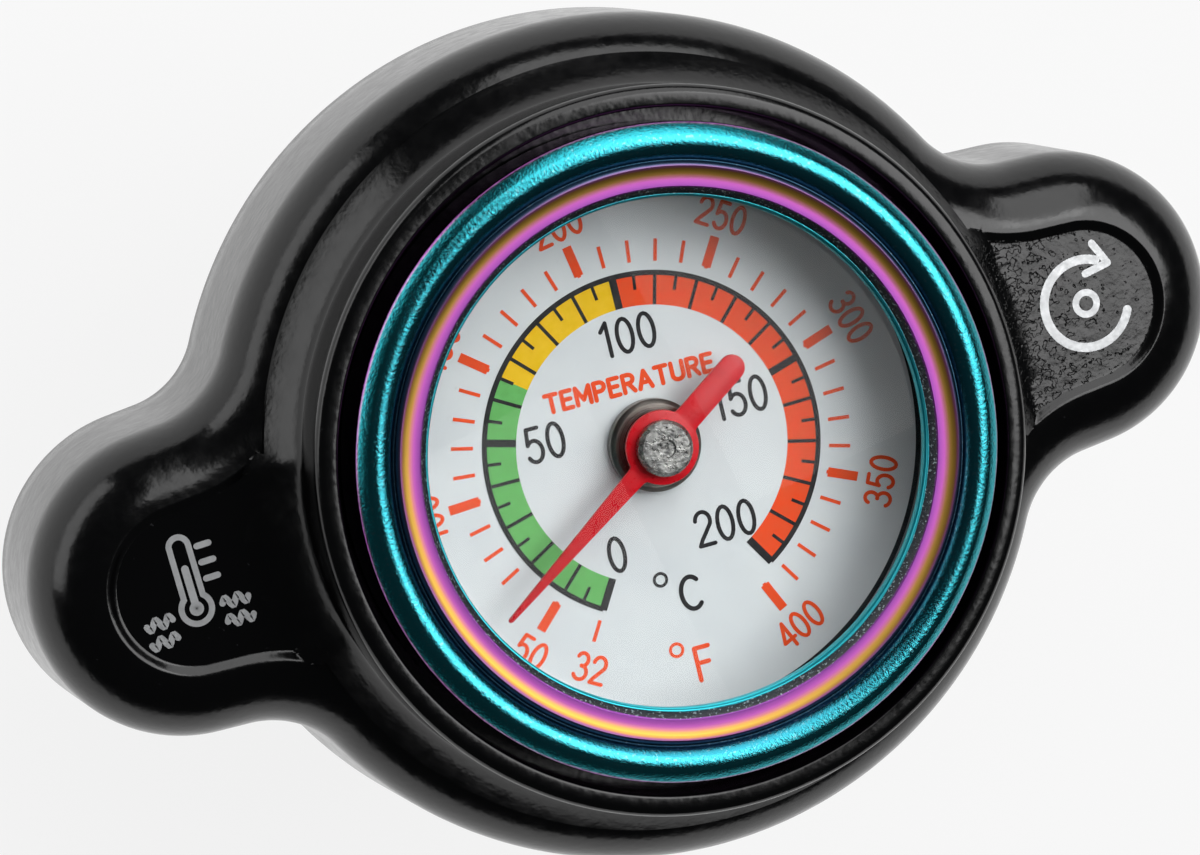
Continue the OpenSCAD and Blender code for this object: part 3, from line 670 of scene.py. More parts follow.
class CoilTree(ShapeTree):
    """Winds a wire or strip with flat end turns."""

    EASE = 0.15
    SIDES = 14
    EDGE = 50.0

    def __init__(self, section: Section) -> None:
        """Build the tree for one section.

        Args:
            section: Whether the wire is round or flat.
        """
        self.section = section
        super().__init__(f"coil_{section.value}",
                         ("Turns", "Radius", "Low", "High", "Wide", "Tall", "Dead"))

    def draw(self, weave: NodeWeave, given: Sockets) -> Socket:
        """Sweep the section along the winding.

        Args:
            weave: The tree in hand.
            given: The sockets of its inputs.

        Returns:
            The wound mesh.
        """
        line = weave.add("GeometryNodeMeshLine", {"Count": given["Count"]})
        share = weave.math("DIVIDE", weave.add("GeometryNodeInputIndex").outputs[0],
                           weave.math("SUBTRACT", given["Count"], 1.0))
        angle = weave.math("MULTIPLY", share, weave.math("MULTIPLY", given["Turns"], 2 * math.pi))
        climb = {"Value": share, "From Min": given["Dead"],
                 "From Max": weave.math("SUBTRACT", 1.0, given["Dead"]),
                 "To Min": given["Low"], "To Max": given["High"]}
        eased, even = (weave.add("ShaderNodeMapRange", climb) for _ in range(2))
        eased.interpolation_type = "SMOOTHSTEP"
        height = weave.math("ADD", weave.math("MULTIPLY", eased.outputs[0], self.EASE),
                            weave.math("MULTIPLY", even.outputs[0], 1.0 - self.EASE))
        wound = weave.add("GeometryNodeSetPosition", {
            "Geometry": line.outputs[0], "Position": weave.polar(given["Radius"], angle, height)})
        curve = weave.add("GeometryNodeMeshToCurve", {"Mesh": wound.outputs[0]})
        upright = weave.add("GeometryNodeSetCurveNormal", {"Curve": curve.outputs[0]})
        upright.mode = "Z_UP"
        if self.section is Section.ROUND:
            wire = weave.add("GeometryNodeCurvePrimitiveCircle", {
                "Resolution": self.SIDES, "Radius": weave.math("MULTIPLY", given["Wide"], 0.5)})
        else:
            wire = weave.add("GeometryNodeCurvePrimitiveQuadrilateral", {
                "Width": given["Wide"], "Height": given["Tall"]})
        return weave.add("GeometryNodeCurveToMesh", {
            "Curve": upright.outputs[0], "Profile Curve": wire.outputs[0],
            "Fill Caps": True}).outputs[0]

    def wind(self, name: str, finish: Material, turns: float, radius: float, low: float,
             high: float, wide: float, tall: float, dead: float, steps: int = 56) -> Piece:
        """Wind one coil and return it as a plain mesh.

        Args:
            name: Name of the piece.
            finish: Its finish.
            turns: Turns, the flat ones included.
            radius: Radius of the wire's middle, in millimetres.
            low: Height of the wire's middle at the lower end.
            high: Height of the wire's middle at the upper end.
            wide: Width of the wire, or its diameter.
            tall: Height of a flat wire.
            dead: Flat turns at each end.
            steps: Steps in a turn.

        Returns:
            The coil as an object.
        """
        coil = self.run(name, finish, Count=int(turns * steps), Turns=turns, Radius=radius * MM,
                        Low=low * MM, High=high * MM, Wide=wide * MM, Tall=tall * MM, Dead=dead / turns)
        tidy_mesh(coil.data, self.EDGE)
        return coil


# Shared surface effects

class Effects:
    """Shader node groups that several finishes share."""

    def __init__(self) -> None:
        """Build the groups once."""
        self.grain = self.build_grain()
        self.peel = self.build_peel()
        self.rings = self.build_rings()
        self.dust = self.build_dust()

    @staticmethod
    def start(name: str, numbers: dict[str, float], results: Sequence[str]) -> tuple[
            NodeTree, NodeWeave, Sockets]:
        """Start a group with a vector input, number inputs and number outputs.

        Args:
            name: Name of the group.
            numbers: Number inputs and their starting values.
            results: Names of the outputs.

        Returns:
            The group, its weave and the sockets of its inputs.
        """
        tree = bpy.data.node_groups.new(name, "ShaderNodeTree")
        face = tree.interface
        face.new_socket(name="Vector", in_out="INPUT", socket_type="NodeSocketVector")
        for key, value in numbers.items():
            socket = face.new_socket(name=key, in_out="INPUT", socket_type="NodeSocketFloat")
            socket.default_value = value
        for key in results:
            face.new_socket(name=key, in_out="OUTPUT", socket_type="NodeSocketFloat")
        weave = NodeWeave(tree)
        return tree, weave, weave.add("NodeGroupInput").outputs

    def build_grain(self) -> NodeTree:
        """Build fine uneven grain between two values.

        Returns:
            The group.
        """
        tree, weave, given = self.start(
            "fine_grain", {"Scale": 2000.0, "Low": 0.0, "High": 1.0}, ["Grain"])
        fine = weave.noise(given["Vector"], given["Scale"], 4.0, 0.6)
        weave.add("NodeGroupOutput", {
            "Grain": weave.span(fine, 0.3, 0.7, given["Low"], given["High"])})
        return tree

    def build_peel(self) -> NodeTree:
        """Build the soft unevenness of sprayed paint.

        Returns:
            The group.
        """
        tree, weave, given = self.start("orange_peel", {"Size": 0.8}, ["Height"])
        scale = weave.math("DIVIDE", 1000.0, given["Size"])
        soft = weave.noise(given["Vector"], scale, 1.0)
        small = weave.noise(given["Vector"], weave.math("MULTIPLY", scale, 2.7), 1.0)
        weave.add("NodeGroupOutput", {"Height": weave.math("MULTIPLY_ADD", small, 0.3, soft)})
        return tree

    def build_rings(self) -> NodeTree:
        """Build the turning marks round the Z axis.

        Returns:
            The group.
        """
        tree, weave, given = self.start("turning_marks", {"Pitch": 0.15}, ["Height"])
        away, height = weave.away(given["Vector"])
        run = weave.math("DIVIDE", weave.math("ADD", away, height),
                         weave.math("MULTIPLY", given["Pitch"], MM))
        line = weave.add("ShaderNodeTexNoise", {"Scale": 1.0, "Detail": 3.0})
        line.noise_dimensions = "1D"
        weave.feed(line, "W", run)
        weave.add("NodeGroupOutput", {"Height": line.outputs[0]})
        return tree

    def build_dust(self) -> NodeTree:
        """Build sparse small specks.

        Returns:
            The group.
        """
        tree, weave, given = self.start("fine_specks", {"Scale": 900.0, "Limit": 0.7}, ["Mask"])
        spots = weave.noise(given["Vector"], given["Scale"], 2.0)
        full = weave.math("ADD", given["Limit"], 0.06)
        weave.add("NodeGroupOutput", {"Mask": weave.span(spots, given["Limit"], full)})
        return tree


class Finisher(NodeWeave):
    """One material with a Principled shader and the shared effects at hand."""

    def __init__(self, name: str, effects: Effects) -> None:
        """Start a material.

        Args:
            name: Name of the material.
            effects: The shared node groups.
        """
        self.material = bpy.data.materials.new(name)
        self.material.use_nodes = True
        super().__init__(self.material.node_tree)
        self.tree.nodes.clear()
        self.grain, self.peel, self.rings, self.dust = (
            partial(self.group, tree)
            for tree in (effects.grain, effects.peel, effects.rings, effects.dust))
        self.shader = self.add("ShaderNodeBsdfPrincipled")
        self.output = self.add("ShaderNodeOutputMaterial", {"Surface": self.shader.outputs[0]})
        self.here = self.add("ShaderNodeTexCoord").outputs["Object"]

    def set(self, **values: Value) -> None:
        """Set or link inputs of the shader, with underscores for spaces."""
        for name, value in values.items():
            self.feed(self.shader, name.replace("_", " "), value)

    def group(self, tree: NodeTree, **values: Value) -> Socket:
        """Add a shared group on this material's coordinates and return its first output.

        Args:
            tree: The group.
            values: Its inputs by name.

        Returns:
            The group's first output.
        """
        node = self.add("ShaderNodeGroup")
        node.node_tree = tree
        for name, value in {"Vector": self.here, **values}.items():
            self.feed(node, name, value)
        return node.outputs[0]

    def bump(self, height: Socket, strength: float, depth: float) -> None:
        """Bump the surface by a height in millimetres."""
        node = self.add("ShaderNodeBump",
                        {"Height": height, "Strength": strength, "Distance": depth * MM})
        self.set(Normal=node.outputs[0])

    def mix(self, share: Value, first: Value, second: Value) -> Socket:
        """Mix two colours and return the result.

        Args:
            share: How much of the second colour shows.
            first: The first colour.
            second: The second colour.

        Returns:
            The mixed colour.
        """
        node = self.add("ShaderNodeMix")
        node.data_type = "RGBA"
        self.feed(node, 0, share)
        for place, colour in ((6, first), (7, second)):
            self.feed(node, place, (*colour, 1.0) if isinstance(colour, tuple) else colour)
        return node.outputs[2]

    def ramp(self, share: Socket, stops: Sequence[tuple[float, Colour]]) -> Socket:
        """Colour a value by a ramp of stops and return the colour.

        Args:
            share: The value.
            stops: Place and colour of each stop.

        Returns:
            The colour.
        """
        node = self.add("ShaderNodeValToRGB", {0: share})
        row = node.color_ramp.elements
        while len(row) < len(stops):
            row.new(1.0)
        for element, (place, colour) in zip(row, stops):
            element.position = place
            element.color = (*colour, 1.0)
        return node.outputs[0]


# Finishes

@dataclass(frozen=True)
class Finish:
    """A named finish, whose nodes each kind builds for itself."""

    name: str

    def make(self, effects: Effects) -> Material:
        """Build the material.

        Args:
            effects: The shared node groups.

        Returns:
            The finished material.
        """
        work = Finisher(self.name, effects)
        self.dress(work)
        return work.material

    def dress(self, work: Finisher) -> None:
        """Build the nodes of a material."""
        raise NotImplementedError


@dataclass(frozen=True)
class Paint(Finish):
    """Sprayed black paint on the casting."""

    colour: Colour = (0.0018, 0.0018, 0.0020)
    smooth: float = 0.13
    rough: float = 0.22
    peel: float = 0.6
    depth: float = 0.03
    strength: float = 0.4
    pitted: Pair = (0.0, 0.0)

    def dress(self, work: Finisher) -> None:
        """Build the nodes of this finish.

        Args:
            work: The material in hand.
        """
        specks = work.dust(Scale=2200.0, Limit=0.74)
        rough = work.grain(Scale=900.0, Low=self.smooth, High=self.rough)
        work.set(Base_Color=work.mix(specks, self.colour, (0.02, 0.02, 0.022)), Roughness=rough)
        peel = work.peel(Size=self.peel)
        if self.pitted[0] > 0:
            out = work.add("ShaderNodeSeparateXYZ", {0: work.here}).outputs[0]
            limit = work.span(out, self.pitted[0] * MM, self.pitted[1] * MM, 0.47, 0.68)
            pits = work.dust(Scale=1900.0, Limit=limit)
            peel = work.math("MULTIPLY_ADD", peel, 0.35, work.math("MULTIPLY", pits, -1.0))
        work.bump(peel, self.strength, self.depth)


@dataclass(frozen=True)
class Metal(Finish):
    """Bare or plated metal, with turning marks where it was turned."""

    colour: Colour
    shade: Colour
    smooth: float = 0.24
    rough: float = 0.4
    pitch: float = 0.0
    depth: float = 0.003
    scale: float = 500.0
    bite: float = 0.3

    def dress(self, work: Finisher) -> None:
        """Build the nodes of this finish.

        Args:
            work: The material in hand.
        """
        patch = work.grain(Scale=self.scale)
        work.set(Base_Color=work.mix(patch, self.colour, self.shade), Metallic=1.0)
        if self.pitch > 0:
            marks = work.rings(Pitch=self.pitch)
            work.set(Roughness=work.span(marks, 0.3, 0.7, self.smooth, self.rough))
            work.bump(marks, 0.5, self.depth)
        else:
            rough = work.grain(Scale=2600.0, Low=self.smooth, High=self.rough)
            work.set(Roughness=rough)
            work.bump(work.grain(Scale=3500.0), self.bite, self.depth)


@dataclass(frozen=True)
class Rubber(Finish):
    """Moulded black rubber."""

    colour: Colour = (0.018, 0.018, 0.019)
    bloom: Colour = (0.035, 0.034, 0.033)

    def dress(self, work: Finisher) -> None:
        """Build the nodes of this finish.

        Args:
            work: The material in hand.
        """
        patch = work.grain(Scale=420.0)
        work.set(Base_Color=work.mix(patch, self.colour, self.bloom),
                 Roughness=work.grain(Scale=3000.0, Low=0.5, High=0.72))
        work.bump(work.grain(Scale=5000.0), 0.3, 0.01)


@dataclass(frozen=True)
class RainbowPlate(Finish):
    """Heat-tinted plating whose colour follows the radius of the ring, with painted shade in the valley
    between the bead and the ridge.
    """

    first: float = 16.5
    last: float = 21.5
    bead: Pair = (18.78, 19.05)
    cut: tuple[Pair, Pair] = ((16.74, 16.80), (17.21, 17.15))
    glint: Colour = (0.55, 0.66, 0.70)

    def stops(self) -> list[tuple[float, Colour]]:
        """Return the tints from the lip to the outer edge as places along the radius.

        Returns:
            Place and colour of each stop.
        """
        tints = [
            (16.56, (0.06, 0.62, 0.70)), (16.75, (0.04, 0.50, 0.60)), (16.79, (0.07, 0.08, 0.09)),
            (17.14, (0.10, 0.10, 0.11)), (17.19, (0.26, 0.07, 0.34)), (17.36, (0.42, 0.10, 0.48)),
            (17.66, (0.62, 0.14, 0.56)), (17.90, (0.64, 0.22, 0.26)), (18.05, (0.64, 0.33, 0.09)),
            (18.22, (0.60, 0.36, 0.06)), (18.38, (0.44, 0.22, 0.06)), (18.50, (0.28, 0.08, 0.20)),
            # The tints darken towards 18.86, near black, in the valley between the bead and the ridge:
            # painted shade in the crease.
            (18.62, (0.20, 0.13, 0.28)), (18.74, (0.13, 0.18, 0.28)), (18.86, (0.02, 0.04, 0.07)),
            (19.10, (0.02, 0.09, 0.14)), (19.45, (0.03, 0.28, 0.36)), (20.00, (0.05, 0.42, 0.50)),
            (20.80, (0.03, 0.38, 0.44)), (21.20, (0.03, 0.36, 0.42)), (21.29, (0.36, 0.30, 0.44)),
            (21.36, (0.40, 0.10, 0.46)), (21.42, (0.34, 0.08, 0.40))]
        return [((place - self.first) / (self.last - self.first), colour) for place, colour in tints]

    def dress(self, work: Finisher) -> None:
        """Build the nodes of this finish.

        Args:
            work: The material in hand.
        """
        radius = work.math("DIVIDE", work.away(work.here)[0], MM)
        share = work.span(radius, self.first, self.last)
        drift = work.grain(Scale=120.0, Low=-0.008, High=0.008)
        tint = work.ramp(work.math("ADD", share, drift), self.stops())
        specks = work.dust(Scale=5200.0, Limit=0.6)
        fine = work.grain(Scale=4800.0)
        marks = work.rings(Pitch=0.12)
        bead = work.span(radius, *self.bead)
        cut = work.math("MULTIPLY", work.span(radius, *self.cut[0]), work.span(radius, *self.cut[1]))
        grainy = work.math("MULTIPLY_ADD", cut, 2.6, work.math("MULTIPLY_ADD", bead, 0.6, 0.04))
        glint = work.math("MULTIPLY", work.math("MULTIPLY", specks, grainy), 0.3)
        rough = work.span(marks, 0.3, 0.7, 0.38, 0.45)
        work.set(Base_Color=work.mix(glint, tint, self.glint), Metallic=1.0,
                 Roughness=work.math("MULTIPLY_ADD", bead, -0.26, rough))
        height = work.math("MULTIPLY_ADD", work.math("MULTIPLY", fine, grainy), 1.0,
                           work.math("MULTIPLY", marks, 0.06))
        work.bump(height, 0.9, 0.02)


@dataclass(frozen=True)
class Enamel(Finish):
    """Pale enamel of the dial."""

    colour: Colour = (0.65, 0.69, 0.70)
    shade: Colour = (0.59, 0.63, 0.65)

    def dress(self, work: Finisher) -> None:
        """Build the nodes of this finish.

        Args:
            work: The material in hand.
        """
        cloud = work.grain(Scale=160.0)
        specks = work.dust(Scale=2400.0, Limit=0.72)
        base = work.mix(cloud, self.colour, self.shade)
        work.set(Base_Color=work.mix(work.math("MULTIPLY", specks, 0.4), base, (0.45, 0.46, 0.46)),
                 Roughness=work.grain(Scale=2200.0, Low=0.38, High=0.52),
                 Specular_IOR_Level=0.25)
        work.bump(work.peel(Size=0.5), 0.2, 0.004)


@dataclass(frozen=True)
class Ink(Finish):
    """Printed ink with a faintly uneven coat."""

    colour: Colour
    thin: Colour
    metallic: float = 0.0
    smooth: float = 0.35

    def dress(self, work: Finisher) -> None:
        """Build the nodes of this finish.

        Args:
            work: The material in hand.
        """
        coat = work.grain(Scale=1500.0)
        rough = work.grain(Scale=3000.0, Low=self.smooth, High=self.smooth + 0.15)
        work.set(Base_Color=work.mix(coat, self.colour, self.thin), Metallic=self.metallic,
                 Roughness=rough, Specular_IOR_Level=0.12)


@dataclass(frozen=True)
class Lacquer(Finish):
    """Gloss lacquer of the pointer."""

    colour: Colour = (0.56, 0.002, 0.010)
    shade: Colour = (0.47, 0.001, 0.007)

    def dress(self, work: Finisher) -> None:
        """Build the nodes of this finish.

        Args:
            work: The material in hand.
        """
        patch = work.grain(Scale=900.0)
        work.set(Base_Color=work.mix(patch, self.colour, self.shade),
                 Roughness=work.grain(Scale=1600.0, Low=0.24, High=0.36),
                 Specular_IOR_Level=0.3)
        work.bump(work.peel(Size=0.4), 0.25, 0.003)


@dataclass(frozen=True)
class Glass(Finish):
    """Clear lens that lets light through to the dial."""

    tint: Colour = (0.985, 0.99, 0.99)

    def dress(self, work: Finisher) -> None:
        """Build the nodes of this finish.

        Args:
            work: The material in hand.
        """
        smear = work.grain(Scale=90.0, Low=0.0, High=0.03)
        work.set(Base_Color=(*self.tint, 1.0), Roughness=smear, IOR=1.2, Transmission_Weight=1.0)
        clear = work.add("ShaderNodeBsdfTransparent")
        ray = work.add("ShaderNodeLightPath")
        mixed = work.add("ShaderNodeMixShader", {
            0: ray.outputs["Is Shadow Ray"], 1: work.shader.outputs[0], 2: clear.outputs[0]})
        work.feed(work.output, "Surface", mixed.outputs[0])


@dataclass(frozen=True)
class StudioFloor(Finish):
    """Pale floor that the camera, metal and glass see as near white."""

    colour: Colour = (0.86, 0.86, 0.86)
    glow: float = 0.86

    def dress(self, work: Finisher) -> None:
        """Build the nodes of this finish.

        Args:
            work: The material in hand.
        """
        patch = work.grain(Scale=30.0)
        work.set(Base_Color=work.mix(patch, self.colour, (0.84, 0.84, 0.84)), Roughness=0.8)
        ray = work.add("ShaderNodeLightPath").outputs
        seen = work.math("MAXIMUM", ray["Is Camera Ray"],
                         work.math("MAXIMUM", ray["Is Glossy Ray"], ray["Is Transmission Ray"]))
        white = work.add("ShaderNodeEmission", {0: (1.0, 1.0, 1.0, 1.0), 1: 1.0})
        mixed = work.add("ShaderNodeMixShader", {
            0: work.math("MULTIPLY", seen, self.glow), 1: work.shader.outputs[0], 2: white.outputs[0]})
        work.feed(work.output, "Surface", mixed.outputs[0])


class Palette:
    """Every finish of the part, built once."""

    def __init__(self) -> None:
        """Build the shared effects and the materials."""
        effects = Effects()
        self.paint = Paint("casting_paint").make(effects)
        self.pad_gloss = Paint("pad_gloss_paint", smooth=0.03, rough=0.07, strength=0.05).make(effects)
        self.pad_rough = Paint("pad_textured_paint", smooth=0.12, rough=0.26, peel=0.5, depth=0.07,
                               strength=1.0, pitted=(26.0, 36.0)).make(effects)
        self.rainbow = RainbowPlate("rainbow_plate").make(effects)
        self.glass = Glass("lens_glass").make(effects)
        self.rubber = Rubber("black_rubber").make(effects)
        self.enamel = Enamel("dial_enamel").make(effects)
        self.lacquer = Lacquer("pointer_lacquer").make(effects)
        (self.can, self.brass, self.turned, self.pin, self.probe, self.strip, self.pressed,
         self.wire) = (metal.make(effects) for metal in (
                Metal("can_tin", (0.62, 0.63, 0.64), (0.52, 0.53, 0.54), 0.3, 0.45),
                Metal("stem_brass", (0.72, 0.50, 0.20), (0.60, 0.40, 0.16), 0.2, 0.36, 0.25),
                Metal("turned_steel", (0.22, 0.20, 0.18), (0.14, 0.13, 0.12), 0.2, 0.42, 0.13, 0.012),
                Metal("pin_steel", (0.46, 0.46, 0.44), (0.12, 0.12, 0.12), 0.18, 0.42, 0.0, 0.05,
                      1900.0, 0.9),
                Metal("probe_steel", (0.60, 0.60, 0.59), (0.50, 0.50, 0.50), 0.2, 0.34, 0.4),
                Metal("bimetal_strip", (0.55, 0.45, 0.36), (0.45, 0.36, 0.30)),
                Metal("pressed_steel", (0.58, 0.58, 0.56), (0.47, 0.47, 0.46), 0.24, 0.4),
                Metal("spring_wire", (0.40, 0.40, 0.41), (0.30, 0.30, 0.31), 0.24, 0.38)))
        self.ink_red, self.ink_black, self.ink_green, self.ink_yellow, self.ink_silver = (
            ink.make(effects) for ink in (
                Ink("ink_red_orange", (0.80, 0.066, 0.010), (0.74, 0.085, 0.022)),
                Ink("ink_black", (0.012, 0.012, 0.014), (0.03, 0.03, 0.032)),
                Ink("ink_green", (0.11, 0.37, 0.095), (0.14, 0.47, 0.13)),
                Ink("ink_yellow", (0.76, 0.47, 0.002), (0.82, 0.52, 0.02)),
                Ink("ink_silver", (0.62, 0.63, 0.64), (0.5, 0.51, 0.52), 0.8, 0.3)))
        self.floor = StudioFloor("studio_floor").make(effects)


def settle(piece: Piece, body: Body, slot: str, *nodes: str) -> None:
    """Tie a finished piece to its body and hide the nodes that it stands for.

    Args:
        piece: The finished piece.
        body: The body that it rides on.
        slot: Not used.
        nodes: Nodes that it replaces.
    """
    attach(piece, body.value)
    if nodes:
        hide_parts(*nodes)
    LOG.info("%s rides on %s with %d faces", piece.name, body.value, len(piece.data.polygons))


def dress_node(node: str, material: Material) -> None:
    """Give a carried-over node a better material.

    Args:
        node: Name of the node.
        material: Its new finish.
    """
    shape = bpy.data.objects[node].data
    shape.materials.clear()
    shape.materials.append(material)
    LOG.info("%s keeps its shape with %s", node, material.name)


# Sub-assemblies

@dataclass
class Casting:
    """The winged casting with its housing, sunk pads, core pockets and bayonet tabs."""

    palette: Palette
    body_r: float = 29.1
    tip_x: float = 31.7
    tip_r: float = 10.8
    taper: float = 4.0
    blend_r: float = 6.0
    draft: float = 2.5
    base_z: float = -4.8
    edge_z: float = 6.0
    shoulder_r: float = 5.5
    pad_margin: float = 5.3
    pad_z: float = 11.1
    border_in: float = 0.3
    border_w: float = 0.8
    ring_r: float = 25.55
    housing_r: float = 23.8
    fillet_r: float = 3.0
    roll_half: float = 4.5
    cone: float = 0.75
    rim_z: float = 19.0
    rim_round: float = 0.7
    groove_r: float = 22.3
    ledge_z: float = 13.9
    pocket_r: float = 19.6
    pocket_z: float = 7.2
    stem_r: float = 5.3
    seat_r: float = 7.3
    seat_z: float = 5.6
    ceiling_z: float = 4.4
    bore_r: float = 21.7
    hook_r: float = 17.2
    tab_r: float = 28.4
    tab_z: float = -8.3
    hook_z: float = -5.8
    tab_half: float = 17.5
    core_in: float = 23.7
    core_out: float = 26.3
    core_z: float = 4.0
    core_span: float = 125.0
    wing_wall: float = 2.8
    wing_core_r: float = 28.3
    wing_core_z: float = 7.5
    below_z: float = -5.8
    wing_x: float = 20.0
    base_round: float = 0.35
    base_sweep: float = 0.335
    wall_rows: Pair = (16.0, 17.2)
    groove_round: float = 0.25
    chamfer: float = 0.3
    flare: Pair = (2.2, 1.0)
    hook_root: float = 0.4
    wall_gap: float = 0.02
    pad_x: float = 22.0
    pad_low: float = 11.0
    pad_inset: float = 0.35
    pad_limits: tuple[Pair, Pair] = ((11.16, 0.97), (12.8, 0.4))
    crease: float = 40.0
    steps: dict[str, int] = field(default_factory=lambda: {
        "tip": 36, "side": 5, "blend": 60, "drum": 54, "border": 16})

    def __post_init__(self) -> None:
        """Work out the derived places of the outline and the shoulder."""
        lean = math.radians(self.draft)
        fall = self.edge_z - self.base_z
        self.edge_d = fall * math.tan(lean) + self.shoulder_r / math.cos(lean)
        turn = math.radians(self.taper)
        self.side_n = np.array((math.sin(turn), math.cos(turn)))
        reach = self.body_r + self.blend_r
        along = np.array((math.cos(turn), -math.sin(turn)))
        foot = np.array((self.tip_x, 0.0)) + self.side_n * (self.tip_r + self.blend_r)
        ahead = float(foot @ along)
        back = math.sqrt(ahead * ahead - float(foot @ foot) + reach * reach)
        self.blend_c = foot + along * (back - ahead)
        self.foot = self.roll()

    def ball(self, away: Array) -> Array:
        """Return the height of the rolling ball over its middle, by the distance from the axis."""
        off = away - (self.housing_r + self.fillet_r)
        return np.sqrt(np.maximum(self.fillet_r ** 2 - off ** 2, 0.0))

    def roll(self) -> tuple[Array, Array, Array]:
        """Roll a ball round the housing's foot and even out its path.

        Returns:
            Bearings in degrees, and the contact radius and the ball's height at each of them.
        """
        grid = np.arange(-180.0, 180.0, 0.25)
        radii = np.linspace(self.housing_r, self.housing_r + 2 * self.fillet_r, 241)
        rays = np.column_stack([np.cos(np.radians(grid)), np.sin(np.radians(grid))])
        path = self.top(self.depth(rays[:, None] * radii[None, :, None])) + self.ball(radii)
        touch = np.maximum(radii[path.argmax(axis=1)], self.housing_r + self.fillet_r)
        weights = np.hanning(int(8 * self.roll_half) + 1)
        weights /= weights.sum()
        half = len(weights) // 2
        rows = [np.convolve(np.concatenate([row[-half:], row, row[:half]]), weights, "valid")
                for row in (touch, path.max(axis=1))]
        return grid, rows[0], rows[1]

    def blend_angles(self) -> Corner:
        """Return the blend's angles at the side and at the drum, and the drum's first angle."""
        side, centre = self.side_n, self.blend_c
        return (math.atan2(-side[1], -side[0]), math.atan2(-centre[1], -centre[0]),
                math.atan2(centre[1], centre[0]))

    def quarter(self) -> tuple[Array, Array]:
        """Walk the base outline from the wing's tip to the top of the drum.

        Returns:
            Points and inward normals of the first quarter.
        """
        places, inward = [], []

        def put(point: Array, normal: Array) -> None:
            """Note one point and its normal."""
            places.append(point)
            inward.append(normal)

        tip = np.array((self.tip_x, 0.0))
        last = math.radians(90 - self.taper)
        for k in range(self.steps["tip"] + 1):
            out = heading(last * k / self.steps["tip"])
            put(tip + out * self.tip_r, -out)
        begin, end = places[-1], self.blend_c - self.side_n * self.blend_r
        for k in range(1, self.steps["side"]):
            put(begin + (end - begin) * k / self.steps["side"], -self.side_n)
        first, final, low = self.blend_angles()
        for k in range(self.steps["blend"] + 1):
            out = heading(first + (final - first) * k / self.steps["blend"])
            put(self.blend_c + out * self.blend_r, out)
        for k in range(1, self.steps["drum"] + 1):
            out = heading(low + (math.pi / 2 - low) * k / self.steps["drum"])
            put(out * self.body_r, -out)
        return np.array(places), np.array(inward)

    def outline(self) -> tuple[Array, Array]:
        """Walk the whole base outline against the clock.

        Returns:
            Points and inward normals.
        """
        left, under = np.array((-1, 1)), np.array((1, -1))
        rows = [np.concatenate([part, part[-2::-1] * left, part[1:] * -1, part[-2:0:-1] * under])
                for part in self.quarter()]
        return rows[0], rows[1]

    def shoulder(self, depth: Array) -> Array:
        """Return the shoulder's height at a depth inside the outline."""
        across = np.clip(self.edge_d - depth, 0.0, self.shoulder_r)
        return self.edge_z + np.sqrt(self.shoulder_r ** 2 - across ** 2)

    def top(self, depth: Array) -> Array:
        """Return the height of the shoulder, border and pads.

        Args:
            depth: Depths inside the outline.

        Returns:
            The height at each depth.
        """
        share = np.clip((depth - self.pad_margin + self.border_in) / self.border_w, 0.0, 1.0)
        share = share * share * (3 - 2 * share)
        return self.shoulder(depth) * (1 - share) + self.pad_z * share

    def depth(self, spots: Array) -> Array:
        """Return how deep spots lie inside the base outline.

        Args:
            spots: Places in the plane, in the last axis.

        Returns:
            Distances from the outline.
        """
        spots, far = np.abs(spots), 1e3
        first, final, low = self.blend_angles()
        bearing = np.arctan2(spots[..., 1], spots[..., 0])
        best = np.where(bearing >= low, self.body_r - np.linalg.norm(spots, axis=-1), far)
        arm = spots - self.blend_c
        swing = np.arctan2(arm[..., 1], arm[..., 0])
        inside = (swing <= max(first, final)) & (swing >= min(first, final))
        best = np.minimum(best, np.where(inside, np.linalg.norm(arm, axis=-1) - self.blend_r, far))
        tip = np.array((self.tip_x, 0.0))
        along = np.array((self.side_n[1], -self.side_n[0]))
        run = (spots - tip) @ along
        start = float((self.blend_c - tip) @ along)
        sides = self.tip_r - (spots - tip) @ self.side_n
        best = np.minimum(best, np.where((run <= 0) & (run >= start), sides, far))
        ends = self.tip_r - np.linalg.norm(spots - tip, axis=-1)
        return np.minimum(best, np.where(run > 0, ends, far))

    def lifted(self, points: Array) -> Array:
        """Return the heights of points after the fillet at the housing's foot is rolled in.

        Args:
            points: Places and heights on the top.

        Returns:
            The heights, raised where the fillet stands higher.
        """
        away = np.linalg.norm(points[:, :2], axis=1)
        bearing = np.degrees(np.arctan2(points[:, 1], points[:, 0]))
        grid, touches, rises = self.foot
        touch, rise = (np.interp(bearing, grid, row, period=360.0) for row in (touches, rises))
        rolled = rise - self.ball(away)
        share = np.clip((away - self.housing_r) / (touch - self.housing_r), 0.0, 1.0)
        rolled += self.cone * (rise - self.ball(touch) * share - rolled)
        return np.where(away < touch, np.maximum(points[:, 2], rolled), points[:, 2])

    def rows(self) -> Array:
        """Lay the skin's rows from the base edge over the top and back under.

        Returns:
            Points by row and line.
        """
        line, inward = self.outline()
        ones = np.ones(len(line))
        full = self.pad_margin + self.border_w
        tries = np.linspace(0.0, full, 561)
        reach = np.linalg.norm(line[:, None] + inward[:, None] * tries[None, :, None], axis=2)
        hit = reach <= self.ring_r
        on_pad = ~hit.any(axis=1)
        end = np.where(on_pad, full, tries[hit.argmax(axis=1)])
        stop = line + inward * end[:, None]
        bearing = np.unwrap(np.arctan2(stop[:, 1], stop[:, 0]))
        self.fan(bearing, stop, on_pad)
        rays = np.column_stack([np.cos(bearing), np.sin(bearing)])
        skin: list[Array] = []

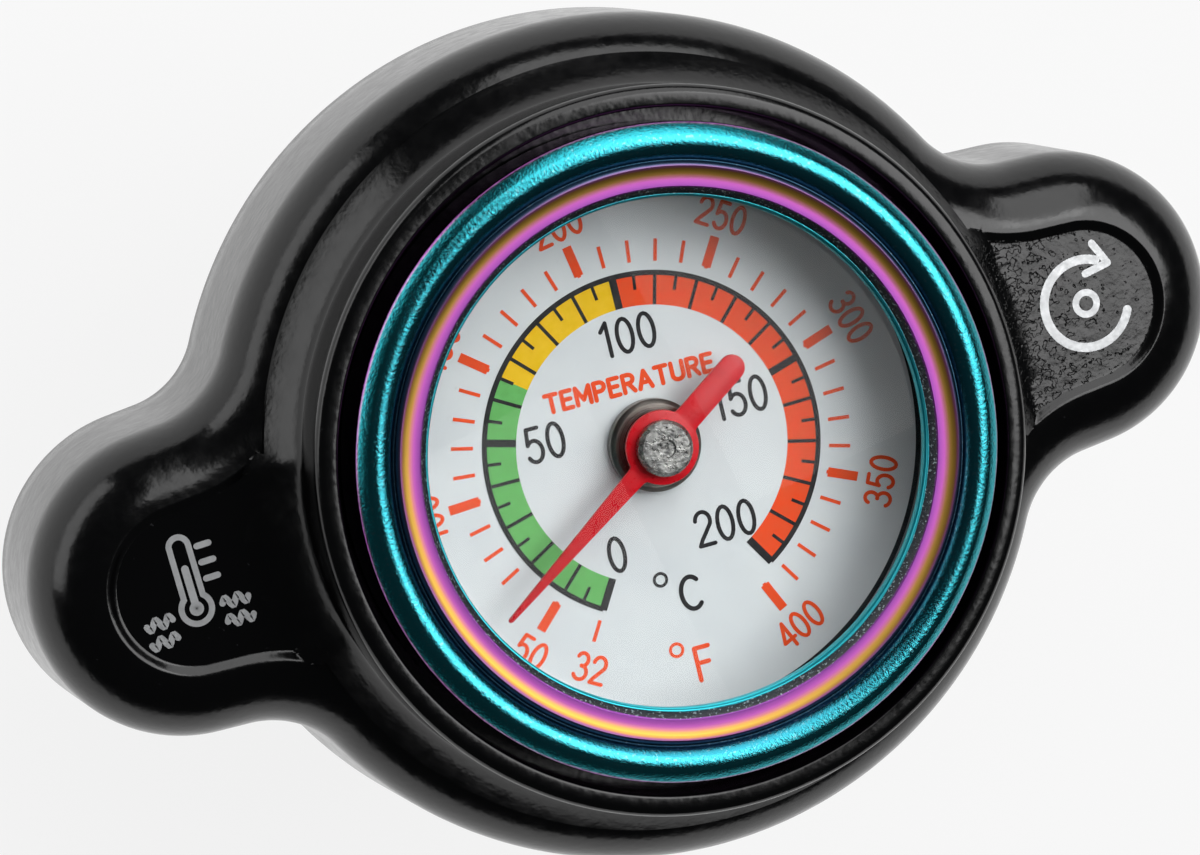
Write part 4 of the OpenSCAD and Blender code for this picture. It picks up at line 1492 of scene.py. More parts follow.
        def put(spot: Array, height: Union[float, Array], lift: bool = False) -> None:
            """Add a row of spots.

            Args:
                spot: Places of the row.
                height: Its height, or the height of each place.
                lift: Whether the fillet is rolled in.
            """
            row = np.column_stack([spot, height * ones])
            if lift:
                row[:, 2] = self.lifted(row)
            skin.append(row)

        def put_in(depth: Array, height: Union[float, Array], lift: bool = False) -> None:
            """Add a row at a depth inside the outline."""
            put(line + inward * depth[:, None], height, lift)

        lean = math.radians(self.draft)
        for k in range(5):
            turn = math.pi / 8 * k
            put_in(ones * (self.base_round - self.base_sweep * math.sin(turn)),
                   self.base_z + self.base_round * (1 - math.cos(turn)))
        edge_top = self.edge_z + self.shoulder_r * math.sin(lean)
        for share in (0.25, 0.5, 0.75):
            rise = edge_top - self.base_z - self.base_round
            height = self.base_z + self.base_round + rise * share
            put_in(ones * (height - self.base_z) * math.tan(lean), height)
        brink = np.where(on_pad, self.pad_margin - self.border_in, end * 0.9)
        last = np.arccos((self.edge_d - brink) / self.shoulder_r)
        for k in range(17):
            deep = self.edge_d - self.shoulder_r * np.cos(lean + (last - lean) * k / 16)
            put_in(deep, self.top(deep))
        for k in range(1, self.steps["border"] + 1):
            deep = brink + (end - brink) * k / self.steps["border"]
            put_in(deep, self.top(deep), lift=True)
        for share in np.linspace(0.0, 1.0, 10)[1:]:
            spot = stop * (1 - share) + share * (self.ring_r * rays)
            put(spot, self.top(self.depth(spot)), lift=True)
        middle = self.housing_r + self.fillet_r
        first = math.asin((middle - self.ring_r) / self.fillet_r)
        for k in range(1, 15):
            angle = first + (math.pi / 2 - first) * k / 14
            put((middle - self.fillet_r * math.sin(angle)) * rays, 0.0, lift=True)
        rim, groove = self.rim_round, self.groove_round
        for radius, height in (
                *((self.housing_r, height) for height in self.wall_rows),
                *arc((self.housing_r - rim, self.rim_z - rim), rim, 0, 90, 7),
                *arc((self.groove_r + groove, self.rim_z - groove), groove, 90, 180, 4),
                (self.groove_r, self.ledge_z), (self.pocket_r, self.ledge_z),
                (self.pocket_r, self.pocket_z), (self.seat_r, self.pocket_z),
                (self.seat_r, self.seat_z), (self.stem_r, self.seat_z),
                (self.stem_r, self.ceiling_z), (self.bore_r, self.ceiling_z),
                (self.bore_r, self.base_z + self.chamfer), (self.bore_r + self.chamfer, self.base_z)):
            put(radius * rays, height)
        return np.array(skin)

    def fan(self, bearing: Array, stop: Array, on_pad: Array) -> None:
        """Spread the lines of each pad along the housing's foot.

        Args:
            bearing: Angles of the lines, which are changed in place.
            stop: Where the lines end on the pad.
            on_pad: Which lines run on a pad.
        """
        count = len(bearing)
        edges = [k for k in range(count) if on_pad[k] and not on_pad[k - 1]]
        for first in edges:
            run = [first]
            while on_pad[(run[-1] + 1) % count]:
                run.append((run[-1] + 1) % count)
            before, after = (first - 1) % count, (run[-1] + 1) % count
            chain = [before] + run + [after]
            gaps = [np.linalg.norm(stop[b] - stop[a]) for a, b in zip(chain, chain[1:])]
            low = math.atan2(stop[before][1], stop[before][0])
            high = math.atan2(stop[after][1], stop[after][0])
            sweep = (high - low) % (2 * math.pi)
            done = 0.0
            for k, gap in zip(run, gaps):
                done += gap
                bearing[k] = low + sweep * done / sum(gaps)

    def build(self) -> None:
        """Build the casting as one closed skin with its pockets cut and its tabs joined."""
        skin = self.rows()
        faces = bands(*skin.shape[:2], closed=True)
        casting = make_piece("casting", skin.reshape(-1, 3), faces, self.palette.paint, self.crease)
        for tool in self.pockets():
            carve(casting, tool, Way.TAKE, self.crease)
        for tool in self.tabs():
            carve(casting, tool, Way.JOIN, self.crease)
        self.finish_pads(casting)
        settle(casting, Body.CAP, "casting_paint", "cap_body")

    def finish_pads(self, casting: Piece) -> None:
        """Give the sunk floors of the pads their own coats.

        Args:
            casting: The finished casting.
        """
        casting.data.materials.clear()
        for coat in (self.palette.paint, self.palette.pad_gloss, self.palette.pad_rough):
            casting.data.materials.append(coat)
        limit = self.pad_margin + self.pad_inset
        for face in casting.data.polygons:
            spot = face.center / MM
            coat = 1 if spot.x < 0 else 2
            top, tilt = self.pad_limits[coat - 1]
            sunk = abs(spot.x) > self.pad_x and self.pad_low < spot.z < top and face.normal.z > tilt
            deep = sunk and float(self.depth(np.array((spot.x, spot.y)))) > limit
            face.material_index = coat if deep else 0

    def prism(self, plan: Sequence[Pair]) -> Piece:
        """Raise the outline of a wing's pocket to a closed block.

        Args:
            plan: Corners of the outline.

        Returns:
            The block.
        """
        count = len(plan)
        points = [(x, y, z) for z in (self.below_z, self.wing_core_z) for x, y in plan]
        faces = [range(count)[::-1], range(count, 2 * count), *bands(2, count)]
        return make_piece("wing_pocket", points, faces, self.palette.paint, self.crease)

    def pockets(self) -> list[Piece]:
        """Make the tools of the casting's core pockets.

        Returns:
            Two ring pockets and two wing pockets.
        """
        tools = []
        profile = [(self.core_in, self.below_z), (self.core_out, self.below_z),
                   (self.core_out, self.core_z), (self.core_in, self.core_z)]
        line, inward = self.outline()
        spots = line + inward * self.wing_wall
        for turn, sign in ((0.0, 1), (180.0, -1)):
            tools.append(lathe("ring_pocket", profile, self.palette.paint, 90, self.crease,
                               turn - self.core_span / 2, self.core_span))
            inside = [p * sign for p in spots
                      if p[0] * sign > self.wing_x and np.linalg.norm(p) > self.wing_core_r]
            inside.sort(key=lambda p: math.atan2(p[1], p[0] - self.wing_x))
            first, last = (math.degrees(math.atan2(p[1], p[0])) for p in (inside[-1], inside[0]))
            back = arc((0.0, 0.0), self.wing_core_r, first, last, 24)
            plan = [(float(x) * sign, float(y) * sign) for x, y in [*inside, *back[1:-1]]]
            tools.append(self.prism(plan))
        return tools

    def tabs(self) -> list[Piece]:
        """Make the bayonet tabs with their hooks.

        Returns:
            Two walls, each with its hook.
        """
        tools = []
        spread, rise = self.flare
        flank = [(self.tab_half, self.tab_z)]
        flank += [(self.tab_half + spread * (1 - math.cos(t)), self.base_z - rise * (1 - math.sin(t)))
                  for t in (math.pi / 2 * k / 6 for k in range(7))]
        flank += [(self.tab_half + spread, self.base_z + rise)]
        plan = flank + [(-a, z) for a, z in reversed(flank)]
        root = self.bore_r + self.hook_root
        hook = rounded([(self.hook_r, self.tab_z, 0.3), (root, self.tab_z + 0.01, 0),
                        (root, self.hook_z, 0), (self.hook_r, self.hook_z, 0.3)], 3)
        for turn in (90.0, 270.0):
            wall = self.tab_wall(plan, turn, 24)
            arm = lathe("tab_hook", hook, self.palette.paint, 30, self.crease,
                        turn - self.tab_half + 0.05, 2 * self.tab_half - 0.1)
            carve(wall, arm, Way.JOIN, self.crease)
            tools.append(wall)
        return tools

    def tab_wall(self, plan: Sequence[Pair], turn: float, parts: int) -> Piece:
        """Make the curved wall of one tab.

        Args:
            plan: Angle and height of each corner of the wall.
            turn: Angle of the wall's middle.
            parts: Steps along the wall.

        Returns:
            The wall as a closed block.
        """
        half, wide = len(plan) // 2, parts + 1
        points = []
        for radius in (self.bore_r + self.wall_gap, self.tab_r):
            for (a, z), (b, _) in zip(plan[:half], plan[half:][::-1]):
                for k in range(wide):
                    spot = radius * heading(math.radians(turn + b + (a - b) * k / parts))
                    points.append((spot[0], spot[1], z))
        faces: list[Sequence[int]] = []
        offset = half * wide
        for r in range(half - 1):
            for k in range(parts):
                a = r * wide + k
                faces.append((a, a + 1, a + wide + 1, a + wide))
                faces.append((offset + a, offset + a + wide, offset + a + wide + 1, offset + a + 1))
        rim = list(range(wide)) + [r * wide + parts for r in range(1, half)]
        rim += [(half - 1) * wide + k for k in range(parts - 1, -1, -1)]
        rim += [r * wide for r in range(half - 2, 0, -1)]
        faces += [(a, b, offset + b, offset + a) for a, b in zip(rim, rim[1:] + rim[:1])]
        return make_piece("tab_wall", points, faces, self.palette.paint, self.crease)


@dataclass
class PadSigns:
    """Silver pictograms printed on the sunk pads: a thermometer and a turning arrow."""

    palette: Palette
    stencil: Stencil = field(default_factory=Stencil)
    level: float = 11.1
    line: float = 0.52
    layer: float = 0.003
    turn_r: float = 3.0
    turn_from: float = 62.0
    left: Pair = (-31.9, 0.0)
    right: Pair = (31.9, 0.0)

    def build(self) -> None:
        """Print both pictograms."""
        self.thermometer()
        self.arrow()
        settle(self.stencil.make("pad_signs", self.palette.ink_silver), Body.CAP, "casting_paint")

    def mark(self, path: Sequence[Pair], width: float, loop: bool = False, layer: int = 0) -> None:
        """Add one stroke of a pictogram."""
        self.stencil.stroke(path, width, self.level, self.level + PRINT + self.layer * layer, loop=loop)

    def thermometer(self) -> None:
        """Draw a thermometer over two waves."""
        x, y = self.left
        bulb = arc((x, y - 1.3), 1.0, 130, 410, 30)
        neck = arc((x, y + 2.9), 0.643, 0, 180, 12)
        self.mark(bulb + neck[:-1], self.line * 0.75, loop=True)
        self.mark([(x, y - 1.3), (x, y + 1.4)], 0.5, layer=1)
        self.mark(arc((x, y - 1.3), 0.22, 0, 342, 19), 0.5, loop=True, layer=2)
        for k in range(3):
            level = y + 2.6 - 1.1 * k
            self.mark([(x + 1.15, level), (x + 1.95, level)], self.line * 0.8)
        for row in range(2):
            for side in (-1, 1):
                wave = [(x + side * (1.7 + 1.75 * t / 20),
                         y - 1.5 - 1.25 * row + 0.3 * math.sin(t * math.pi / 5)) for t in range(21)]
                self.mark(wave, self.line * 0.8)

    def arrow(self) -> None:
        """Draw a turning arrow round a small boss."""
        x, y = self.right
        self.mark(arc((x, y), self.turn_r, self.turn_from, 335, 60), self.line * 1.2)
        across = heading(math.radians(self.turn_from))
        along = np.array((across[1], -across[0]))
        head = np.array((x, y)) + self.turn_r * across
        point = head + along * 0.9
        for side in (-1, 1):
            end = head - along * 0.5 + across * side * 1.05
            self.mark([tuple(point), tuple(end)], self.line, layer=1 + side)
        self.mark(arc((x, y), 0.75, 0, 342, 24), self.line * 0.9, loop=True)


@dataclass
class Window:
    """The plated bezel and the lens under it."""

    palette: Palette
    crimp_r: float = 19.4
    crimp_z: float = 14.2
    bezel_r: float = 21.4
    inner_r: float = 20.65
    edge_z: float = 19.2
    bead: tuple[float, float, float, float] = (20.12, 19.2, 1.28, 1.29)
    bead_from: float = 63.0
    bead_sweep: float = 85.0
    edge: tuple[Pair, ...] = ((21.4, 19.62), (21.385, 19.74), (21.35, 19.82), (21.3, 19.88))
    valley: tuple[Pair, ...] = ((18.99, 19.84), (18.95, 19.82), (18.9, 19.825), (18.85, 19.86))
    ridge: tuple[Pair, ...] = (
        (18.8, 19.91), (18.72, 20.01), (18.64, 20.08), (18.57, 20.1), (18.48, 20.08), (18.4, 20.053),
        (18.3, 20.018), (18.1, 19.96), (17.9, 19.925), (17.7, 19.91), (17.45, 19.905), (17.25, 19.9),
        (17.18, 19.86), (16.79, 19.38), (16.74, 19.4), (16.68, 19.38), (16.62, 19.3))
    window_r: float = 16.58
    lip_z: float = 19.2
    lens_z: float = 18.4
    floor_z: float = 14.95
    lens_r: float = 20.35
    lens_low: float = 16.4

    def build(self) -> None:
        """Build the bezel and the lens."""
        across, up, wide, tall = self.bead
        turns = [math.radians(self.bead_from + self.bead_sweep * k / 24) for k in range(25)]
        outer = [(across + wide * math.cos(a), up + tall * math.sin(a)) for a in turns]
        skirt = rounded([(self.crimp_r, self.crimp_z, 0.2), (self.bezel_r, self.crimp_z, 0.5),
                         (self.bezel_r, self.edge_z, 0.0)], 5)
        tail = rounded([(self.window_r, self.lip_z, 0.08), (self.window_r, self.lens_z, 0.0),
                        (self.inner_r, self.lens_z, 0.1), (self.inner_r, self.floor_z, 0.1),
                        (self.crimp_r, self.floor_z, 0.0)], 4)
        profile = [*skirt, *self.edge, *outer, *self.valley, *self.ridge, *tail]
        bezel = lathe("bezel", profile, self.palette.rainbow, 288, 28.0)
        settle(bezel, Body.CAP, "rainbow_plate", "bezel_ring")
        disc = rounded([(0.0, self.lens_low, 0), (self.lens_r, self.lens_low, 0.15),
                        (self.lens_r, self.lens_z, 0.15), (0.0, self.lens_z, 0)], 3)
        glass = lathe("lens_disc", disc, self.palette.glass, 160)
        settle(glass, Body.CAP, "clear_glass", "lens")


@dataclass
class Dial:
    """The enamelled dial with its two printed scales, and the turned bush in its middle."""

    palette: Palette
    fans: FanTree
    level: float = 11.85
    fahrenheit_50: float = 221.75
    per_fahrenheit: float = -0.8257
    celsius_0: float = 236.6
    per_celsius: float = -1.486
    band_in: float = 9.12
    band_out: float = 11.18
    # Radius of a black ring that is painted shade of the gap between the dial and the can wall.
    gap_shade_r: float = 18.1
    bush_r: float = 3.05
    bush_top: float = 12.95
    bush_hole: float = 0.85
    shank_r: float = 1.8
    tilt: float = -2.5
    band_high: float = 0.015
    line_high: float = 0.022
    bold_high: float = 0.024
    ends_high: float = 0.026

    def build(self) -> None:
        """Print the scales and turn the bush."""
        dress_node("dial_plate", self.palette.enamel)
        for piece in (self.band("band_green", self.palette.ink_green, 0, 65),
                      self.band("band_yellow", self.palette.ink_yellow, 65, 100),
                      self.band("band_red", self.palette.ink_red, 100, 200),
                      self.black_print_and_gap_shade(), self.red_print()):
            settle(piece, Body.CAP, "dial_enamel")
        bush = lathe("bush", rounded([
            (self.bush_hole, self.level - 2.0, 0), (self.shank_r, self.level - 2.0, 0),
            (self.shank_r, self.level, 0), (self.bush_r, self.level, 0.05),
            (self.bush_r, self.bush_top - 0.25, 0.1), (self.bush_r - 0.3, self.bush_top, 0.1),
            (self.bush_hole, self.bush_top, 0.05)], 4), self.palette.turned, 128)
        settle(bush, Body.CAP, "turned_steel", "spindle_bush")

    def celsius(self, degrees: float) -> float:
        """Return the dial angle of a Celsius reading."""
        return self.celsius_0 + self.per_celsius * degrees

    def fahrenheit(self, degrees: float) -> float:
        """Return the dial angle of a Fahrenheit reading."""
        return self.fahrenheit_50 + self.per_fahrenheit * (degrees - 50)

    def band(self, name: str, ink: Material, low: float, high: float) -> Piece:
        """Print one colour of the Celsius band.

        Args:
            name: Name of the print.
            ink: Its finish.
            low: First reading.
            high: Last reading.

        Returns:
            The printed sector.
        """
        stencil = Stencil()
        middle = (self.band_in + self.band_out) / 2
        path = arc((0.0, 0.0), middle, self.celsius(low), self.celsius(high), 80)
        stencil.stroke(path, self.band_out - self.band_in, self.level, self.level + self.band_high,
                       caps=False)
        return stencil.make(name, ink)

    def unit(self, stencil: Stencil, letter: str, ring: Pair, middle: Pair) -> None:
        """Print the degree ring and the letter of a scale."""
        stencil.stroke(arc(ring, 0.42, 0, 342, 22), 0.2, self.level, self.level + PRINT, loop=True)
        Glyphs.write(stencil, letter, middle, self.tilt, 2.15, 0.3, self.level)

    def black_print_and_gap_shade(self) -> Piece:
        """Print the band's lines, the Celsius numbers and a black ring of painted shade at the dial's
        edge in black.

        Returns:
            The black print.
        """
        ink, level, step = self.palette.ink_black, self.level, self.per_celsius
        lay, low, high = self.fans.lay, self.band_in, self.band_out
        fans = [
            lay("tens", ink, 21, self.celsius_0, step * 10, low, high, 0.24, level),
            lay("fives", ink, 20, self.celsius(5), step * 10, 10.15, high, 0.22, level),
            lay("fifties", ink, 3, self.celsius(50), step * 50, low, high, 0.5, level, self.bold_high),
            lay("ends", ink, 2, self.celsius_0, step * 200, low, high + 0.08, 0.5, level,
                self.ends_high)]
        stencil = Stencil()
        stencil.stroke(arc((0.0, 0.0), high + 0.03, self.celsius(0), self.celsius(200), 200), 0.34,
                       level, level + self.line_high, caps=False)
        # Black ring at the dial's edge: painted shade where the dial meets the can wall, not print on
        # the dial.
        stencil.stroke(arc((0.0, 0.0), self.gap_shade_r, 0, 359, 359), 0.34, level, level + PRINT,
                       loop=True)
        for text, middle in (("0", (-4.29, -6.21)), ("50", (-6.85, 2.26)), ("100", (0.39, 7.37)),
                             ("150", (6.44, 1.2)), ("200", (3.25, -6.4))):
            Glyphs.write(stencil, text, middle, self.tilt, 2.2, 0.27, level)
        self.unit(stencil, "C", (-1.98, -8.68), (-0.28, -10.13))
        return join_pieces("print_black", fans + [stencil.make("celsius_numbers", ink)])

    def red_print(self) -> Piece:
        """Print the Fahrenheit ticks, numbers and the dial's word in red-orange.

        Returns:
            The red print.
        """
        ink, level, step = self.palette.ink_red, self.level, self.per_fahrenheit
        lay, start = self.fans.lay, self.fahrenheit_50
        fans = [
            lay("minor", ink, 36, start, step * 10, 11.96, 13.41, 0.24, level),
            lay("major", ink, 8, start, step * 50, 12.06, 14.12, 0.62, level, self.bold_high),
            lay("freezing", ink, 1, self.fahrenheit(32), step, 11.96, 13.41, 0.24, level)]
        stencil = Stencil()
        numbers = {
            Facing.INWARD: (("50", 15.7, -137.6), ("32", 15.15, -122.3), ("400", 15.7, -66.6),
                            ("350", 15.75, -26.1)),
            Facing.OUTWARD: (("100", 15.56, 181.0), ("150", 15.56, 139.0), ("200", 15.56, 98.0),
                             ("250", 15.56, 56.5), ("300", 15.7, 14.9))}
        for facing, row in numbers.items():
            for text, radius, bearing in row:
                x, y = radius * heading(math.radians(bearing))
                Glyphs.write(stencil, text, (x, y), bearing + facing.value, 1.75, 0.25, level)
        Glyphs.write(stencil, "TEMPERATURE", (-0.4, 4.3), -2.75, 1.12, 0.29, level, 0.31, 1.1)
        self.unit(stencil, "F", (-2.23, -13.46), (-0.66, -14.83))
        return join_pieces("print_red", fans + [stencil.make("fahrenheit_numbers", ink)])


@dataclass
class Needle:
    """The lacquered pointer and the turned pin that holds it."""

    palette: Palette
    angle: float = 211.4
    low: float = 14.05
    high: float = 14.45
    length: float = 15.1
    tail: float = 7.8
    hub_r: float = 2.45
    root: float = 0.66
    tip: float = 0.15
    tail_half: float = 0.86
    bevel: float = 0.07
    pin_r: float = 1.85
    pin_top: float = 15.45
    hole_r: float = 0.85

    def half_plan(self) -> list[Pair]:
        """Return one side of the pointer from its tip to its tail's end.

        Returns:
            Points in the pointer's own plane.
        """
        side = [(self.length, self.tip * 0.4), (self.length - 0.12, self.tip)]
        meet = math.sqrt(self.hub_r ** 2 - self.root ** 2)
        side += [(meet + 0.25, self.root - 0.01), (meet + 0.08, self.root + 0.03)]
        first = math.degrees(math.asin((self.root + 0.1) / self.hub_r))
        last = 180 - math.degrees(math.asin((self.tail_half + 0.1) / self.hub_r))
        side += arc((0.0, 0.0), self.hub_r, first, last, 22)
        back = math.sqrt(self.hub_r ** 2 - self.tail_half ** 2)
        side += [(-back - 0.08, self.tail_half + 0.03), (-back - 0.25, self.tail_half)]
        side += arc((-self.tail + self.tail_half, 0.0), self.tail_half, 90, 180, 10)
        return side

    def build(self) -> None:
        """Build the pointer and its pin."""
        half = self.half_plan()
        plan = np.array(half + [(x, -y) for x, y in reversed(half[:-1])])
        middle = np.roll(plan, -1, axis=0) - np.roll(plan, 1, axis=0)
        middle /= np.linalg.norm(middle, axis=1)[:, None]
        inward = np.stack([-middle[:, 1], middle[:, 0]], axis=1)
        small = plan + inward * self.bevel
        soft = plan + inward * self.bevel * 0.3
        small[:, 1] = np.where(np.sign(small[:, 1]) == np.sign(plan[:, 1]), small[:, 1], 0.0)
        turn = math.radians(self.angle)
        spin = np.array(((math.cos(turn), math.sin(turn)), (-math.sin(turn), math.cos(turn))))
        rows = [(small, self.low), (plan, self.low + self.bevel), (plan, self.high - self.bevel),
                (soft, self.high - self.bevel * 0.3), (small, self.high)]
        points, count = [], len(plan)
        for ring, z in rows:
            points += [(x, y, z) for x, y in ring @ spin]
        faces = [list(range(count)), list(range(4 * count, 5 * count))[::-1], *bands(len(rows), count)]
        pointer = make_piece("pointer_arm", points, faces, self.palette.lacquer, 40.0)
        settle(pointer, Body.NEEDLE, "pointer_paint", "pointer")
        inner, neck = self.hole_r, (self.high + self.pin_top) / 2
        pin = lathe("pin_head", rounded([
            (inner, self.high, 0), (self.pin_r - 0.12, self.high, 0),
            (self.pin_r, self.high + 0.13, 0.05), (self.pin_r, self.pin_top - 0.28, 0.05),
            (self.pin_r - 0.26, self.pin_top, 0.06), (0.62, self.pin_top, 0.05),
            (0.55, self.pin_top - 0.12, 0.05), (0.2, self.pin_top - 0.12, 0.1),
            (0.0, self.pin_top - 0.2, 0), (0.0, neck, 0), (inner, neck, 0)], 4), self.palette.pin, 96)
        settle(pin, Body.NEEDLE, "turned_steel", "pointer_pin")
        dress_node("spindle", self.palette.probe)


class Drill:
    """Gathers straight rods into one closed tool for boring holes."""

    def __init__(self, sides: int = 40) -> None:
        """Start with no rods.

        Args:
            sides: Sides of a rod.
        """
        self.sides = sides
        self.points: list[Sequence[float]] = []
        self.faces: list[Sequence[int]] = []

    def rod(self, start: Corner, end: Corner, radius: float) -> None:
        """Add a rod between two points, in millimetres.

        Args:
            start: Middle of its first end.
            end: Middle of its last end.
            radius: Its radius.
        """
        run = Vector(end) - Vector(start)
        turn = run.to_track_quat("Z", "Y").to_matrix()
        base, count = len(self.points), self.sides
        for reach in (0.0, run.length):
            for k in range(count):
                x, y = radius * heading(2 * math.pi * k / count)
                self.points.append(tuple(turn @ Vector((x, y, reach)) + Vector(start)))
        faces = [range(count)[::-1], range(count, 2 * count), *bands(2, count)]
        self.faces += [[base + v for v in face] for face in faces]

    def bore(self, piece: Piece) -> None:
        """Bore the rods out of a piece."""
        tool = make_piece("drill", self.points, self.faces, piece.data.materials[0])
        carve(piece, tool, Way.TAKE)


@dataclass
class Probe:
    """The closed probe tube, the coil inside it, the can and the fittings that hold the gauge."""

    palette: Palette
    strips: CoilTree
    tube_r: float = 3.0
    tube_in: float = 2.5
    dome_z: float = -33.0
    top: float = 5.6
    strip_r: float = 1.75
    strip_turns: float = 12.0
    strip_low: float = -30.1
    strip_high: float = -13.3
    strip_wide: float = 0.3
    strip_tall: float = 0.5
    can: Profile = (
        (5.05, 7.2, 0.0), (16.7, 7.2, 0.6), (16.7, 10.75, 0.2), (19.3, 10.75, 0.5), (19.3, 15.0, 0.2),
        (20.35, 15.0, 0.05), (20.35, 15.6, 0.1), (18.3, 15.6, 0.25), (18.3, 11.9, 0.04),
        (18.7, 11.88, 0.0), (18.7, 11.35, 0.05), (16.1, 11.35, 0.1), (16.1, 7.8, 0.2), (5.05, 7.8, 0.0))

    def build(self) -> None:
        """Build the tube, its coil and the can, and dress the fittings."""
        look = self.palette
        wall = [(self.tube_r, self.top - 0.1), (self.tube_r - 0.1, self.top), (self.tube_in, self.top),
                (self.tube_in, self.dome_z), (0.0, self.dome_z)]
        tube = lathe("probe", arc((0.0, self.dome_z), self.tube_r, -90, 0, 16) + wall,
                     look.probe, 96)
        settle(tube, Body.CAP, "probe_steel", "probe_tube")
        strip = self.strips.wind(
            "bimetal_strip", look.strip, self.strip_turns, self.strip_r, self.strip_low,
            self.strip_high, self.strip_wide, self.strip_tall, 0.0, 32)
        settle(strip, Body.CAP, "bimetal", "bimetal_coil")
        can = lathe("can", rounded(self.can, 4), look.can, 192)
        settle(can, Body.CAP, "can_steel", "gauge_can")
        fittings = {"lens_gasket": look.rubber, "stem_boss": look.brass, "coil_anchor": look.brass,
                    "stem_oring": look.rubber, "stem_nut": look.brass,
                    "retaining_clip": look.pressed}
        for node, finish in fittings.items():
            dress_node(node, finish)


@dataclass
class Valve:
    """The swivelling spring holder with its gasket, and the two valves that slide in it."""

    palette: Palette
    coils: CoilTree
    disc: Profile = ((6.35, 1.5, 0.0), (20.6, 1.5, 0.1), (20.6, 1.9, 0.15), (6.35, 1.9, 0.05))
    gasket: Profile = ((15.6, 0.0, 0.3), (20.6, 0.0, 0.4), (20.6, 1.5, 0.1), (15.6, 1.5, 0.1))
    holder: Profile = (
        (6.35, 0.9, 0.1), (13.4, 0.9, 0.5), (13.4, -12.2, 0.1), (12.4, -12.2, 0.1), (12.4, -12.8, 0.15),
        (14.0, -12.8, 0.55), (14.0, 1.5, 0.05), (6.35, 1.5, 0.1))
    port_z: float = -5.65
    port_r: float = 2.5
    port_reach: float = 20.0
    cup: Profile = (
        (4.45, -12.15, 0.0), (11.5, -12.15, 0.3), (11.5, -16.3, 0.0), (12.1, -16.3, 0.0),
        (12.1, -12.15, 0.1), (13.1, -12.15, 0.1), (13.1, -11.25, 0.3), (4.45, -11.25, 0.0))
    cup_vents: Corner = (8.0, 1.3, 6)
    sleeve: Profile = (
        (3.05, -24.25, 0.1), (4.4, -24.25, 0.2), (4.4, -23.5, 0.0), (4.0, -23.5, 0.0),
        (4.0, -22.9, 0.0), (4.4, -22.9, 0.0), (4.4, -11.25, 0.0), (6.0, -11.25, 0.1),
        (6.0, -10.25, 0.3), (3.05, -10.25, 0.1))
    pan: Profile = (
        (4.45, -16.9, 0.05), (13.2, -16.9, 0.3), (13.2, -17.9, 0.1), (13.8, -17.9, 0.2),
        (13.8, -16.3, 0.5), (4.45, -16.3, 0.05))
    pan_vents: Corner = (5.5, 0.8, 6)
    seal: Profile = (
        (6.6, -18.3, 0.15), (10.35, -18.3, 0.15), (10.35, -18.7, 0.15), (13.15, -18.7, 0.3),
        (13.15, -16.9, 0.1), (6.6, -16.9, 0.05))
    plate: Profile = (
        (4.45, -20.35, 0.1), (5.55, -20.35, 0.2), (5.55, -19.15, 0.3), (9.5, -19.15, 0.2),
        (9.5, -18.35, 0.2), (4.45, -18.35, 0.05))
    clip: Profile = (
        (4.05, -23.45, 0.08), (7.26, -23.45, 0.12), (7.26, -22.95, 0.12), (4.05, -22.95, 0.08))
    clip_mouth: float = 21.0
    spring: tuple[float, ...] = (4.4, 10.6, -10.4, 0.05, 1.6)
    light_spring: tuple[float, ...] = (3.4, 6.6, -22.6, -19.5, 0.6)
    dead: float = 0.2
    holder_roof: float = 0.9
    clip_top: float = -22.95
    lift: float = 3.2
    drop: float = 1.5

    def turned(self, name: str, corners: Sequence[Corner], finish: Material) -> Piece:
        """Turn one round piece from its corners."""
        return lathe(name, rounded(corners, 4), finish, 144)

    def vent(self, piece: Piece, vents: Corner, low: float, high: float) -> None:
        """Bore a ring of vents through a plate.

        Args:
            piece: The plate.
            vents: Radius of the ring, radius of a vent, and how many.
            low: Height below the plate.
            high: Height above the plate.
        """
        drill = Drill(24)
        for k in range(int(vents[2])):
            x, y = vents[0] * heading(2 * math.pi * k / vents[2])
            drill.rod((x, y, low), (x, y, high), vents[1])
        drill.bore(piece)

    def build(self) -> None:
        """Build the carrier and both valves."""
        self.build_carrier()
        self.build_pressure()
        settle(self.turned("vacuum_plate", self.plate, self.palette.brass), Body.VACUUM, "stem_brass",
               "vacuum_valve")

    def coil(self, name: str, sizes: Sequence[float], body: Body, node: str) -> tuple[Piece, float]:
        """Wind one spring and return it with its height.

        Args:
            name: Name of the spring.
            sizes: Turns, radius, lowest and highest middle, and the wire's width.
            body: The body that it rides on.
            node: The node that it replaces.

        Returns:
            The spring and its height.
        """
        low, high, wire = sizes[2:]
        spring = self.coils.wind(name, self.palette.wire, *sizes, wire, self.dead)
        settle(spring, body, "spring_steel", node)
        return spring, high - low + wire

    def build_carrier(self) -> None:
        """Build the disc, the gasket, the holder and the main spring."""
        look, body = self.palette, Body.CARRIER
        settle(self.turned("neck_disc", self.disc, look.pressed), body, "pressed_steel", "spring_disc")
        settle(self.turned("rim_gasket", self.gasket, look.rubber), body, "black_rubber", "neck_gasket")
        holder = self.turned("holder", self.holder, look.pressed)
        for bearing in (45, 135):
            x, y = self.port_reach * heading(math.radians(bearing))
            drill = Drill(48)
            drill.rod((-x, -y, self.port_z), (x, y, self.port_z), self.port_r)
            drill.bore(holder)
        settle(holder, body, "pressed_steel", "spring_holder")
        spring, tall = self.coil("main_spring", self.spring, body, "pressure_spring")
        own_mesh(spring)

